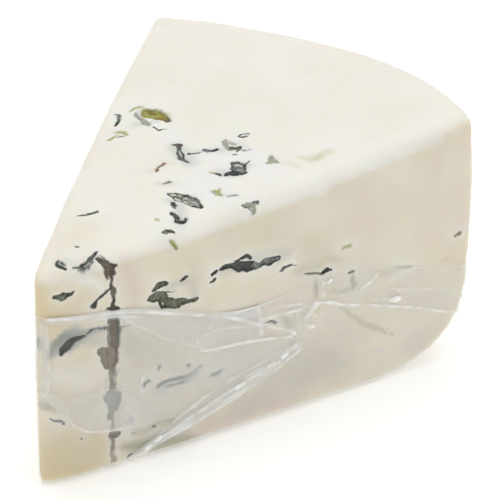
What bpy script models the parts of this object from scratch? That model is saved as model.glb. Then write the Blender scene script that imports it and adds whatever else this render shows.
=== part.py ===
"""Blue goat cheese wedge: a slice of a small halved wheel, with clear film round its foot.

The wedge stands on its base with +Z up. Its tip points to -Y, and the wheel's outer side faces +Y.
The shapes are laid out in plan coordinates: the two cut planes meet on the Z axis at the tip, and the
film's underside is at z = 0. One empty carries everything, and the last step moves it so that the
middle of the whole box is over the origin. All lengths are in metres.
"""

import math

import bmesh
import bpy
from mathutils import Matrix, Vector

MM = 0.001

# The wheel that the slice is cut from
WHEEL_RADIUS = 92.0 * MM
WHEEL_HEIGHT = 80.0 * MM
WHEEL_CENTRE = Vector((-3.3, 13.4, 0.0)) * MM
WHEEL_STEPS = 96
WHEEL_TURN = math.radians(0.1)
WHEEL_WOBBLE = 1.1 * MM
WHEEL_WOBBLE_HEADING = math.radians(17.0)
WHEEL_WOBBLE_WAVES = 7.5
WHEEL_WOBBLE_FADE = 4
SIDE_BULGE = 0.9 * MM
SIDE_BULGE_HEIGHT = 36.0 * MM
SIDE_BULGE_SPAN = 18.0 * MM
SIDE_RING_HEIGHTS = (49.0 * MM, 41.0 * MM, 33.0 * MM, 25.0 * MM)

# The worn foot of the wheel's side, a quarter of a superellipse in section
FOOT_WIDTH = 23.0 * MM
FOOT_HEIGHT = 18.0 * MM
FOOT_EXPONENT = 2.3
FOOT_STEPS = 8

# The two cuts
CUT_HALF_ANGLE = math.radians(23.9)
CUT_REACH = 120.0 * MM
CUT_STATIONS = (10.5 * MM, 15.0 * MM, 35.0 * MM, 55.0 * MM, 75.0 * MM, CUT_REACH)
CUT_LENGTH = 101.7 * MM
FRONT_BOW = 1.2 * MM
BACK_BOW = 1.0 * MM
TIP_TURN_LENGTH = 17.0 * MM
TIP_TURN_DEPTH = 2.5 * MM
TIP_START = 1.8 * MM
TIP_LEAN = 2.3 * MM
TIP_LEAN_REACH = 25.0 * MM

# The top, cut across the wheel and a little low at the tip
TOP_HEIGHT_AT_TIP = 47.4 * MM
TOP_SLOPE_X = 0.027
TOP_SLOPE_Y = 0.090
TOP_SAG = 1.6 * MM
TOP_SAG_WIDTH = 20.0 * MM
TOP_SAG_BANDS = (8.0 * MM, 14.0 * MM)
TOP_ZONE = 8.0 * MM

# Softened edges
EDGE_SOFTNESS = 4.2 * MM
EDGE_SEGMENTS = 3
SHARP_TURN = math.radians(30.0)
FLAT_TURN = math.radians(0.3)
TOP_FRONT_SHARE = 1.0
TOP_OTHER_SHARE = 0.5
TIP_SHARE = 0.95
BASE_SHARE = 0.3

# Needle track: half of the hole left by a piercing needle, laid open by the front cut
NEEDLE_RADIUS = 1.1 * MM
NEEDLE_DEPTH = 0.7 * MM
NEEDLE_DISTANCE = 18.1 * MM
NEEDLE_SIDES = 10

# Mould pockets that open as shallow hollows: distance from the tip along the front cut, height,
# length, width and tilt in degrees
POCKET_DEPTH = 0.7 * MM
FRONT_POCKETS = {
    "upper_tip": (8.0, 43.0, 4.6, 1.8, 8.0),
    "dark_hollow": (9.0, 31.6, 5.0, 2.8, 30.0),
    "green_wide": (32.0, 35.4, 10.5, 4.4, -22.0),
    "long_blue": (49.4, 38.0, 14.0, 2.4, -4.0),
    "small_blue": (58.4, 33.9, 3.6, 1.6, 12.0),
    "far_olive": (65.8, 31.6, 5.2, 1.5, 4.0),
    "low_streak": (33.0, 15.8, 10.0, 1.8, 2.0),
}

# The same on the top: plan x and y, length, width and tilt in degrees
TOP_POCKETS = {
    "olive_wide": (-17.4, 61.8, 8.6, 4.6, 24.0),
    "dark_wide": (8.2, 39.4, 8.0, 4.0, 30.0),
    "dark_round": (9.9, 54.2, 4.4, 4.0, 10.0),
    "grey_round": (11.2, 33.3, 3.6, 3.4, 0.0),
    "grey_wedge": (14.5, 60.1, 3.8, 2.4, 30.0),
    "olive_small": (5.1, 60.1, 3.6, 2.6, 40.0),
}
POCKET_SEGMENTS = 12
POCKET_RINGS = 6

# Clear film gathered round the foot of the slice. Its upper edge falls away from the tip, and
# swings down and up once along the front cut
FILM_GAP = 0.3 * MM
FILM_THICKNESS = 0.3 * MM
FILM_HEIGHT_AT_TIP = 39.0 * MM
FILM_FALL = 0.16
FILM_WAVE = 3.6 * MM
FILM_WAVE_MIDDLE = 59.0 * MM
FILM_WAVE_LENGTH = 64.0 * MM
FILM_WAVE_SPREAD = 40.0 * MM
FILM_SIDE_BLEND = 20.0 * MM
SHELL_LIMIT = 1.3
FILM_EDGE_CELLS = 24
FILM_EDGE_SIZE = 160.0 * MM
BASE_HEIGHT = FILM_GAP + FILM_THICKNESS

# How far cutters run past what they cut, the size of those with no size of their own, how near
# points are to be welded, and how near a place is to a face to count as on it
OVERRUN = 5.0 * MM
CUTTER_SIZE = 300.0 * MM
MERGE_DISTANCE = 0.01 * MM
ON_FACE = 0.6 * MM

CHEESE_COLOUR = (0.83, 0.80, 0.71, 1.0)
CHEESE_ROUGHNESS = 0.45
FILM_COLOUR = (0.92, 0.94, 0.93, 1.0)
FILM_ROUGHNESS = 0.15
FILM_ALPHA = 0.35

FRONT_ALONG = Vector((math.sin(CUT_HALF_ANGLE), math.cos(CUT_HALF_ANGLE), 0.0))
FRONT_OUT = Vector((math.cos(CUT_HALF_ANGLE), -math.sin(CUT_HALF_ANGLE), 0.0))
BACK_ALONG = Vector((-math.sin(CUT_HALF_ANGLE), math.cos(CUT_HALF_ANGLE), 0.0))
BACK_OUT = Vector((-math.cos(CUT_HALF_ANGLE), -math.sin(CUT_HALF_ANGLE), 0.0))


def clear_scene():
    """Remove every object that the file already holds."""
    for obj in list(bpy.data.objects):
        bpy.data.objects.remove(obj, do_unlink=True)


def make_collection(name):
    """Add a collection to the scene."""
    collection = bpy.data.collections.new(name)
    bpy.context.scene.collection.children.link(collection)
    return collection


def make_object(name, data, collection, parent=None):
    """Add an object to a collection, and hang it from a parent."""
    obj = bpy.data.objects.new(name, data)
    collection.objects.link(obj)
    obj.parent = parent
    return obj


def make_material(name, colour, roughness, alpha=1.0):
    """Make a Principled BSDF material."""
    material = bpy.data.materials.new(name)
    material.use_nodes = True
    shader = material.node_tree.nodes["Principled BSDF"]
    shader.inputs["Base Color"].default_value = colour
    shader.inputs["Roughness"].default_value = roughness
    shader.inputs["Metallic"].default_value = 0.0
    shader.inputs["Alpha"].default_value = alpha
    return material


def make_cutter(obj):
    """Show an object as wire and keep it out of the render."""
    obj.hide_render = True
    obj.display_type = "WIRE"
    return obj


def evaluated_mesh(obj):
    """Return the mesh that an object's modifiers or curve settings give."""
    graph = bpy.context.evaluated_depsgraph_get()
    graph.update()
    return bpy.data.meshes.new_from_object(obj.evaluated_get(graph), depsgraph=graph)


def settle_modifiers(obj):
    """Apply an object's modifiers to its mesh."""
    mesh = evaluated_mesh(obj)
    obj.modifiers.clear()
    obj.data = mesh


def add_boolean(obj, cutter, operation):
    """Cut an object with a closed cutter."""
    boolean = obj.modifiers.new(cutter.name, "BOOLEAN")
    boolean.operation = operation
    boolean.solver = "EXACT"
    boolean.object = cutter


def side_radius(height):
    """Give the wheel's radius at a height on its side."""
    return WHEEL_RADIUS - SIDE_BULGE * ((height - SIDE_BULGE_HEIGHT) / SIDE_BULGE_SPAN) ** 2


def wheel_profile():
    """List the wheel's profile from the middle of its top, down its side, to the middle of its base."""
    shoulder = side_radius(SIDE_RING_HEIGHTS[0])
    points = [(0.0, WHEEL_HEIGHT), (shoulder - SIDE_BULGE, WHEEL_HEIGHT)]
    points += [(side_radius(height), height) for height in SIDE_RING_HEIGHTS]
    foot_top = side_radius(FOOT_HEIGHT)
    for step in range(FOOT_STEPS + 1):
        angle = math.pi / 2 * step / FOOT_STEPS
        inset = 1.0 - math.cos(angle) ** (2.0 / FOOT_EXPONENT)
        drop = math.sin(angle) ** (2.0 / FOOT_EXPONENT)
        points.append((foot_top - FOOT_WIDTH * inset, FOOT_HEIGHT * (1.0 - drop)))
    points.append((0.0, 0.0))
    return points


def make_wheel(name, collection, parent):
    """Turn the wheel's profile about its own axis."""
    points = wheel_profile()
    mesh = bpy.data.meshes.new(name)
    vertices = [(radius, 0.0, height) for radius, height in points]
    mesh.from_pydata(vertices, [(i, i + 1) for i in range(len(points) - 1)], [])
    wheel = make_object(name, mesh, collection, parent)
    wheel.location = WHEEL_CENTRE + Vector((0.0, 0.0, BASE_HEIGHT))
    wheel.rotation_euler = (0.0, 0.0, WHEEL_TURN)
    screw = wheel.modifiers.new("turn", "SCREW")
    screw.axis = "Z"
    screw.angle = math.tau
    screw.steps = WHEEL_STEPS
    screw.render_steps = WHEEL_STEPS
    screw.use_merge_vertices = True
    screw.merge_threshold = MERGE_DISTANCE
    return wheel


def bow_share(distance):
    """Give the share of a cut's full bow at a distance from the tip."""
    along = distance / CUT_LENGTH
    return 4.0 * along * (1.0 - along)


def front_offset(distance):
    """Give how far the front cut stands out from its plane at a distance from the tip."""
    turn = max(0.0, 1.0 - distance / TIP_TURN_LENGTH)
    return FRONT_BOW * bow_share(distance) - TIP_TURN_DEPTH * turn ** 2


def back_offset(distance):
    """Give how far the back cut stands out from its plane at a distance from the tip."""
    return BACK_BOW * bow_share(distance)


def cut_outline():
    """List the plan outline that the two cuts leave, from the front's far end round to the back's."""
    front = [FRONT_ALONG * station + FRONT_OUT * front_offset(station) for station in CUT_STATIONS]
    back = [BACK_ALONG * station + BACK_OUT * back_offset(station) for station in CUT_STATIONS]
    tip = FRONT_ALONG * TIP_START + FRONT_OUT * front_offset(TIP_START)
    return front[::-1] + [tip] + back


def make_prism(name, outline, height, collection, parent):
    """Extrude a flat outline between just under the base and a height."""
    curve = bpy.data.curves.new(name, "CURVE")
    curve.dimensions = "2D"
    curve.fill_mode = "BOTH"
    curve.extrude = (height + OVERRUN) / 2
    spline = curve.splines.new("POLY")
    spline.points.add(len(outline) - 1)
    for point, place in zip(spline.points, outline):
        point.co = (place.x, place.y, 0.0, 1.0)
    spline.use_cyclic_u = True
    flat = make_object(name + "_outline", curve, collection)
    mesh = evaluated_mesh(flat)
    bpy.data.objects.remove(flat, do_unlink=True)
    body = bmesh.new()
    body.from_mesh(mesh)
    bmesh.ops.remove_doubles(body, verts=body.verts, dist=MERGE_DISTANCE)
    bmesh.ops.recalc_face_normals(body, faces=body.faces)
    body.to_mesh(mesh)
    body.free()
    prism = make_object(name, mesh, collection, parent)
    prism.location.z = (height - OVERRUN) / 2
    return make_cutter(prism)


def top_height(x, y):
    """Give the height of the top's plane over a place in plan."""
    return TOP_HEIGHT_AT_TIP + TOP_SLOPE_X * x + TOP_SLOPE_Y * y


def make_top_block(name, collection, parent):
    """Make the block that the cut across the wheel takes away."""
    normal = Vector((-TOP_SLOPE_X, -TOP_SLOPE_Y, 1.0)).normalized()
    tilt = Vector((0.0, 0.0, 1.0)).rotation_difference(normal).to_matrix().to_4x4()
    lift = Matrix.Translation((0.0, 0.0, CUTTER_SIZE / 2))
    seat = Matrix.Translation((0.0, 0.0, TOP_HEIGHT_AT_TIP))
    mesh = bpy.data.meshes.new(name)
    block = bmesh.new()
    bmesh.ops.create_cube(block, size=CUTTER_SIZE, matrix=seat @ tilt @ lift)
    block.to_mesh(mesh)
    block.free()
    return make_cutter(make_object(name, mesh, collection, parent))


def merge_flat_faces(mesh):
    """Join the triangles of each flat face, so that only real edges are left."""
    body = bmesh.new()
    body.from_mesh(mesh)
    bmesh.ops.dissolve_limit(
        body, angle_limit=FLAT_TURN, use_dissolve_boundaries=False, verts=body.verts, edges=body.edges
    )
    body.to_mesh(mesh)
    body.free()


def front_place(point):
    """Turn a plan point into its distance along the front cut and its depth behind it."""
    distance = point.dot(FRONT_ALONG)
    return distance, front_offset(distance) - point.dot(FRONT_OUT)


def back_depth(point):
    """Give a plan point's depth behind the back cut."""
    return back_offset(point.dot(BACK_ALONG)) - point.dot(BACK_OUT)


def edge_share(edge):
    """Choose how much of the full softness an edge takes, from the faces that meet there."""
    middle = (edge.verts[0].co + edge.verts[1].co) / 2
    flat = Vector((middle.x, middle.y, 0.0))
    on_front = front_place(flat)[1] < ON_FACE
    on_back = back_depth(flat) < ON_FACE
    on_top = abs(top_height(middle.x, middle.y) - middle.z) < ON_FACE
    if on_front and on_back:
        return TIP_SHARE
    if on_top and on_front:
        return TOP_FRONT_SHARE
    if on_top:
        return TOP_OTHER_SHARE
    if middle.z < BASE_HEIGHT + MERGE_DISTANCE:
        return BASE_SHARE
    return 0.0


def mark_soft_edges(mesh):
    """Weight the edges where two of the slice's faces meet, for the bevel."""
    body = bmesh.new()
    body.from_mesh(mesh)
    weights = body.edges.layers.float.new("bevel_weight_edge")
    for edge in body.edges:
        if edge.calc_face_angle(0.0) > SHARP_TURN:
            edge[weights] = edge_share(edge)
    body.to_mesh(mesh)
    body.free()


def soften_edges(obj):
    """Round the slice's edges with one weighted bevel."""
    mark_soft_edges(obj.data)
    bevel = obj.modifiers.new("soft_edges", "BEVEL")
    bevel.width = EDGE_SOFTNESS
    bevel.segments = EDGE_SEGMENTS
    bevel.limit_method = "WEIGHT"
    bevel.use_clamp_overlap = False
    settle_modifiers(obj)


def sag_at(place):
    """Give how far the top droops at a place, most along the middle of the front cut."""
    distance, depth = front_place(Vector((place.x, place.y, 0.0)))
    near = max(0.0, 1.0 - max(depth, 0.0) / TOP_SAG_WIDTH) ** 2
    along = math.sin(math.pi * min(max(distance / CUT_LENGTH, 0.0), 1.0))
    high = max(0.0, 1.0 - (top_height(place.x, place.y) - place.z) / TOP_ZONE)
    return TOP_SAG * near * along * high


def lean_at(place):
    """Give how far the foot of the tip stands forward of its top."""
    near = max(0.0, 1.0 - Vector((place.x, place.y)).length / TIP_LEAN_REACH) ** 2
    return TIP_LEAN * near * (1.0 - place.z / TOP_HEIGHT_AT_TIP)


def wobble_at(place):
    """Give the shift from a true circle that the wheel's hand-formed side takes."""
    arm = place - WHEEL_CENTRE
    arm.z = 0.0
    heading = math.atan2(arm.x, arm.y) - WHEEL_WOBBLE_HEADING
    share = (arm.length / WHEEL_RADIUS) ** WHEEL_WOBBLE_FADE
    return arm.normalized() * (WHEEL_WOBBLE * share * math.cos(WHEEL_WOBBLE_WAVES * heading))


def settle_shape(mesh):
    """Give the slice the small sags and leans of a soft cheese cut by hand."""
    body = bmesh.new()
    body.from_mesh(mesh)
    for band in TOP_SAG_BANDS:
        everything = list(body.verts) + list(body.edges) + list(body.faces)
        bmesh.ops.bisect_plane(
            body,
            geom=everything,
            dist=MERGE_DISTANCE,
            plane_co=-FRONT_OUT * band,
            plane_no=FRONT_OUT,
        )
    for vertex in body.verts:
        place = vertex.co.copy()
        vertex.co += wobble_at(place)
        vertex.co.y -= lean_at(place)
        vertex.co.z -= sag_at(place)
    bmesh.ops.triangulate(body, faces=body.faces)
    body.to_mesh(mesh)
    body.free()


def make_slice(name, collection, cutters, parent):
    """Cut the slice from the wheel, round its edges and let it settle."""
    piece = make_wheel(name, collection, parent)
    add_boolean(piece, make_prism("two_cuts", cut_outline(), CUTTER_SIZE, cutters, parent), "INTERSECT")
    add_boolean(piece, make_top_block("top_cut", cutters, parent), "DIFFERENCE")
    settle_modifiers(piece)
    piece.data.transform(piece.matrix_basis)
    piece.matrix_basis = Matrix.Identity(4)
    merge_flat_faces(piece.data)
    soften_edges(piece)
    settle_shape(piece.data)
    return piece


def inflated_copy(name, source, amount, collection, parent):
    """Copy the slice's mesh with every face moved out by the same amount, and its base exactly flat."""
    mesh = source.copy()
    body = bmesh.new()
    body.from_mesh(mesh)
    reaches = [amount * min(vertex.calc_shell_factor(), SHELL_LIMIT) for vertex in body.verts]
    underside = BASE_HEIGHT - amount
    for vertex, reach in zip(body.verts, reaches):
        vertex.co += vertex.normal * reach
        if abs(vertex.co.z - underside) < MERGE_DISTANCE:
            vertex.co.z = underside
    body.to_mesh(mesh)
    body.free()
    return make_object(name, mesh, collection, parent)


def film_edge_height(x, y):
    """Give the height of the film's upper edge: high at the tip, with one wave along the front cut."""
    place = Vector((x, y, 0.0))
    beyond = place.dot(FRONT_ALONG) - FILM_WAVE_MIDDLE
    swing = math.sin(math.tau * beyond / FILM_WAVE_LENGTH) * math.exp(-((beyond / FILM_WAVE_SPREAD) ** 2))
    front_side = min(max(0.5 + x / FILM_SIDE_BLEND, 0.0), 1.0)
    return FILM_HEIGHT_AT_TIP - FILM_FALL * place.length + FILM_WAVE * swing * front_side


def make_film_top_block(name, collection, parent):
    """Make the wavy block that clears the film above its upper edge."""
    mesh = bpy.data.meshes.new(name)
    sheet = bmesh.new()
    bmesh.ops.create_grid(
        sheet,
        x_segments=FILM_EDGE_CELLS,
        y_segments=FILM_EDGE_CELLS,
        size=FILM_EDGE_SIZE / 2,
        matrix=Matrix.Translation((0.0, FILM_EDGE_SIZE / 3, 0.0)),
    )
    for vertex in sheet.verts:
        vertex.co.z = film_edge_height(vertex.co.x, vertex.co.y)
    lifted = bmesh.ops.extrude_face_region(sheet, geom=list(sheet.faces), use_keep_orig=True)["geom"]
    for vertex in lifted:
        if isinstance(vertex, bmesh.types.BMVert):
            vertex.co.z = WHEEL_HEIGHT
    bmesh.ops.recalc_face_normals(sheet, faces=sheet.faces)
    sheet.to_mesh(mesh)
    sheet.free()
    return make_cutter(make_object(name, mesh, collection, parent))


def make_film(name, core, collection, cutters, parent):
    """Wrap the foot of the slice in film: an outer skin less an inner one, cut off at its edge."""
    film = inflated_copy(name, core, FILM_GAP + FILM_THICKNESS, collection, parent)
    inner = make_cutter(inflated_copy("film_inside", core, FILM_GAP, cutters, parent))
    add_boolean(film, inner, "DIFFERENCE")
    add_boolean(film, make_film_top_block("film_edge", cutters, parent), "DIFFERENCE")
    return film


def add_pocket(piece, name, frame, length, width, tilt, cutters, parent):
    """Sink one shallow hollow into the face that a frame's X and Y axes span."""
    ball = bmesh.new()
    bmesh.ops.create_uvsphere(ball, u_segments=POCKET_SEGMENTS, v_segments=POCKET_RINGS, radius=1.0)
    sizes = Matrix.Diagonal((length / 2, width / 2, POCKET_DEPTH, 1.0))
    turn = Matrix.Rotation(math.radians(tilt), 4, "Z")
    bmesh.ops.transform(ball, matrix=frame @ turn @ sizes, verts=ball.verts)
    mesh = bpy.data.meshes.new(name)
    ball.to_mesh(mesh)
    ball.free()
    cutter = make_cutter(make_object(name, mesh, cutters, parent))
    add_boolean(piece, cutter, "DIFFERENCE")


def face_frame(origin, along, out):
    """Build a frame with X along a face, Z out of it and Y across."""
    across = out.cross(along)
    frame = Matrix((along, across, out)).transposed().to_4x4()
    frame.translation = origin
    return frame


def surface_frame(piece, start, heading, along):
    """Set a frame on a piece's surface where a ray from outside meets it."""
    found, place, out, _ = piece.ray_cast(start, heading)
    if not found:
        raise ValueError(f"no surface under {tuple(start)}")
    flat_along = (along - out * along.dot(out)).normalized()
    return face_frame(place, flat_along, out)


def front_pockets(piece):
    """List the front cut's mould pockets with the frames that they open in."""
    pockets = []
    for name, (distance, height, length, width, tilt) in FRONT_POCKETS.items():
        start = (FRONT_ALONG * distance + Vector((0.0, 0.0, height))) * MM + FRONT_OUT * CUT_REACH
        frame = surface_frame(piece, start, -FRONT_OUT, FRONT_ALONG)
        pockets.append((f"front_{name}", frame, length * MM, width * MM, tilt))
    return pockets


def top_pockets(piece):
    """List the top's mould pockets with the frames that they open in."""
    down = Vector((0.0, 0.0, -1.0))
    pockets = []
    for name, (x, y, length, width, tilt) in TOP_POCKETS.items():
        start = Vector((x * MM, y * MM, WHEEL_HEIGHT))
        frame = surface_frame(piece, start, down, Vector((1.0, 0.0, 0.0)))
        pockets.append((f"top_{name}", frame, length * MM, width * MM, tilt))
    return pockets


def add_needle_track(piece, cutters, parent):
    """Open the half hole that the piercing needle left down the front cut."""
    height = TOP_HEIGHT_AT_TIP + 2 * OVERRUN
    outset = front_offset(NEEDLE_DISTANCE) + NEEDLE_RADIUS - NEEDLE_DEPTH
    middle = FRONT_ALONG * NEEDLE_DISTANCE + FRONT_OUT * outset
    middle.z = height / 2 - OVERRUN / 2
    rod = bmesh.new()
    bmesh.ops.create_cone(
        rod,
        cap_ends=True,
        segments=NEEDLE_SIDES,
        radius1=NEEDLE_RADIUS,
        radius2=NEEDLE_RADIUS,
        depth=height,
        matrix=Matrix.Translation(middle),
    )
    mesh = bpy.data.meshes.new("needle_track")
    rod.to_mesh(mesh)
    rod.free()
    track = make_cutter(make_object("needle_track", mesh, cutters, parent))
    add_boolean(piece, track, "DIFFERENCE")


def centre_on_origin(parts, carrier):
    """Move the carrier so that the parts stand on z = 0 with the middle of their box at the origin."""
    corners = []
    for part in parts:
        mesh = evaluated_mesh(part)
        corners += [vertex.co.copy() for vertex in mesh.vertices]
        bpy.data.meshes.remove(mesh)
    low = Vector(min(corner[axis] for corner in corners) for axis in range(3))
    high = Vector(max(corner[axis] for corner in corners) for axis in range(3))
    middle = (low + high) / 2
    carrier.location = (-middle.x, -middle.y, -low.z)


def build():
    """Build the slice and its film."""
    clear_scene()
    parts = make_collection("blue_goat_cheese_wedge")
    cutters = make_collection("cutters")
    carrier = make_object("wedge_origin", None, parts)

    cheese = make_slice("cheese_wedge", parts, cutters, carrier)
    film = make_film("film_wrap", cheese.data, parts, cutters, carrier)

    for pocket in front_pockets(cheese) + top_pockets(cheese):
        add_pocket(cheese, *pocket, cutters, carrier)
    add_needle_track(cheese, cutters, carrier)

    cheese.data.materials.append(make_material("goat_cheese_paste", CHEESE_COLOUR, CHEESE_ROUGHNESS))
    film.data.materials.clear()
    film.data.materials.append(make_material("clear_film", FILM_COLOUR, FILM_ROUGHNESS, FILM_ALPHA))
    centre_on_origin((cheese, film), carrier)


build()
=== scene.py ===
"""Looks of a wedge of blue goat cheese whose foot is gathered in clear film.

The slice and its film are drawn off the frame's solids as fine skins. Mould, stains, folds and
creases are marks on them, given in millimetres on the face that they lie on. Each mark gives the
points of a skin their distance to its edge, and from that come the pits, the bleached places, the
colours, and the relief and the milky places of the film. Some marks are painted light and shade:
painted shadows of the film's folds on the curd, a painted highlight along the slice's shoulder,
painted highlights and glints along the film's creases, painted shade on the cut faces and a
painted glow at the tip.
"""

from __future__ import annotations

import logging
import math
import random
from collections.abc import Callable, Sequence
from dataclasses import dataclass, field
from enum import Enum
from functools import partial

import bmesh
import bpy
import numpy as np
from mathutils import Matrix, Vector, noise

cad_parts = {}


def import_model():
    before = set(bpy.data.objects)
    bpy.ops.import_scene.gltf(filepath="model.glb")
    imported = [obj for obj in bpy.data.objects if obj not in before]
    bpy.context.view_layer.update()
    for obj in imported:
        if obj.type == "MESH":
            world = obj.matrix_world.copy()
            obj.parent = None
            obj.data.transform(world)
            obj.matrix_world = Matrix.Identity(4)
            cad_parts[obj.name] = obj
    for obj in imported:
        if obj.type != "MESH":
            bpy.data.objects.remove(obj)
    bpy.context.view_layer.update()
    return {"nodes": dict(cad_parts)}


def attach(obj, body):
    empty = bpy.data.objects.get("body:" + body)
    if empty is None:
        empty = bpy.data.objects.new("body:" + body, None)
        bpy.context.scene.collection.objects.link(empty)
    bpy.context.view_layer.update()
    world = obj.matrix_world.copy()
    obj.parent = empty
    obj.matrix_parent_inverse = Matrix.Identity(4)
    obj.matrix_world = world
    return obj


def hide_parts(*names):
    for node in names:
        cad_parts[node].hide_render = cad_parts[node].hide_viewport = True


LOG = logging.getLogger("blue_goat_cheese_wedge")

MM = 0.001
BODY = "root"
FAR = 12.0
OFF_FACE = 3.0
SHAKE_SEED = 1


def linear(sheen: str) -> tuple[float, float, float, float]:
    """Turn an sRGB hex colour into the linear RGBA that shader sockets take.

    Args:
        sheen: A colour such as "#F1EEDF".

    Returns:
        The red, green and blue as linear light, and an alpha of 1.
    """
    parts = [int(sheen[start : start + 2], 16) / 255 for start in (1, 3, 5)]
    red, green, blue = (
        part / 12.92 if part <= 0.04045 else ((part + 0.055) / 1.055) ** 2.4 for part in parts
    )
    return red, green, blue, 1.0


def add_node(
    material: bpy.types.Material,
    kind: str,
    inputs: dict[str | int, object] | None = None,
    **settings: object,
) -> bpy.types.Node:
    """Add one shader node with its settings and links.

    Args:
        material: The material whose tree takes the node.
        kind: The node's type, such as "ShaderNodeTexNoise".
        inputs: What each input holds, by its name or number: a value, a socket or a node, which
            gives its first output in use.
        **settings: The node's own properties.

    Returns:
        The new node.
    """
    tree = material.node_tree
    node = tree.nodes.new(kind)
    for name, value in settings.items():
        setattr(node, name, value)
    for key, value in (inputs or {}).items():
        named = [socket for socket in node.inputs if socket.enabled and socket.name == key]
        taker = named[0] if named else node.inputs[key]
        if isinstance(value, bpy.types.Node):
            value = next(socket for socket in value.outputs if socket.enabled)
        if isinstance(value, bpy.types.NodeSocket):
            tree.links.new(value, taker)
        else:
            taker.default_value = value
    return node


def per_metre(millimetres: float) -> float:
    """Give the scale of a pattern whose features are so many millimetres apart."""
    return 1.0 / (millimetres * MM)


def fade(values: np.ndarray, start: float, end: float) -> np.ndarray:
    """Ease from 0 to 1 as values go from start to end.

    Args:
        values: Any numbers.
        start: Where the result is 0.
        end: Where the result is 1. It may be lower than start.

    Returns:
        The eased values, between 0 and 1.
    """
    share = np.clip((values - start) / (end - start), 0.0, 1.0)
    return share * share * (3.0 - 2.0 * share)


def ruffle(points: np.ndarray, grain: float, seed: float) -> np.ndarray:
    """Draw smooth noise at each point.

    Args:
        points: Points in millimetres.
        grain: The size of the noise's bumps in millimetres.
        seed: A shift that tells one noise from another.

    Returns:
        Values mostly between -0.5 and 0.5.
    """
    shifted = points / grain + seed * 7.31
    return np.array([noise.noise(point) for point in shifted.tolist()])


class Face(Enum):
    """The faces of the slice that marks are laid on."""

    TOP = "top"
    FRONT = "front"
    BACK = "back"
    HEEL = "heel"


class Tint(Enum):
    """The colours of mould and of the stains round it, by age and by how much air they had."""

    INK = "#454A48"
    SLATE = "#6A706D"
    MOSS = "#6C7059"
    OLIVE = "#A3A048"
    LEAF = "#B4B77C"
    SAGE = "#A9AC98"
    CRUMB = "#DCDFD6"
    BARK = "#6C5D50"
    CLAY = "#857A6B"
    RUSSET = "#8E6E47"
    FAWN = "#AFA287"
    SMOKE = "#A9ACA9"
    REED = "#B9B893"
    DUN = "#B3AE96"
    STRAW = "#D2C296"
    ROSE = "#DDCFC4"


@dataclass(frozen=True)
class SliceForm:
    """Where the faces of the slice lie, in millimetres from the crossing of its two cuts."""

    half_angle: float = math.radians(23.9)
    top_height: float = 47.4
    top_slope_x: float = 0.027
    top_slope_y: float = 0.090
    wheel_radius: float = 92.0
    wheel_middle: tuple[float, float] = (-3.3, 13.4)
    film_height: float = 39.0
    film_fall: float = 0.16
    film_wave: float = 3.6
    film_wave_middle: float = 59.0
    film_wave_length: float = 64.0
    film_wave_spread: float = 40.0
    film_side_blend: float = 20.0
    shift: tuple[float, float, float] = (0.739, -53.584, 0.0)

    def plan(self, points: np.ndarray) -> np.ndarray:
        """Turn points of the frame into places measured from the crossing of the cuts.

        Args:
            points: Points in millimetres.

        Returns:
            The same points, moved.
        """
        return points - np.array(self.shift)

    def chart(self, face: Face, points: np.ndarray) -> np.ndarray:
        """Lay points out flat on a face.

        Args:
            face: The face. On the top the two measures are X and Y, on a cut the distance from
                the tip and the height, and on the heel the way round it and the height.
            points: Points of the frame in millimetres.

        Returns:
            For each point both measures and how far it stands off the face.
        """
        x, y, z = self.plan(points).T
        if face is Face.TOP:
            level = self.top_height + self.top_slope_x * x + self.top_slope_y * y
            return np.column_stack((x, y, z - level))
        if face is Face.HEEL:
            x, y = x - self.wheel_middle[0], y - self.wheel_middle[1]
            way = self.wheel_radius * np.arctan2(x, y)
            return np.column_stack((way, z, np.hypot(x, y) - self.wheel_radius))
        side = x if face is Face.FRONT else -x
        across, along = math.cos(self.half_angle), math.sin(self.half_angle)
        return np.column_stack((side * along + y * across, z, side * across - y * along))

    def above_film(self, points: np.ndarray) -> np.ndarray:
        """Measure how far points stand above the film's upper edge.

        Args:
            points: Points of the frame in millimetres.

        Returns:
            Heights over the edge in millimetres, negative where the film covers the point.
        """
        x, y, z = self.plan(points).T
        along = x * math.sin(self.half_angle) + y * math.cos(self.half_angle)
        beyond = along - self.film_wave_middle
        swing = np.sin(math.tau * beyond / self.film_wave_length)
        swing *= np.exp(-((beyond / self.film_wave_spread) ** 2))
        front_side = np.clip(0.5 + x / self.film_side_blend, 0.0, 1.0)
        edge = self.film_height - self.film_fall * np.hypot(x, y)
        return z - edge - self.film_wave * swing * front_side


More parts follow.
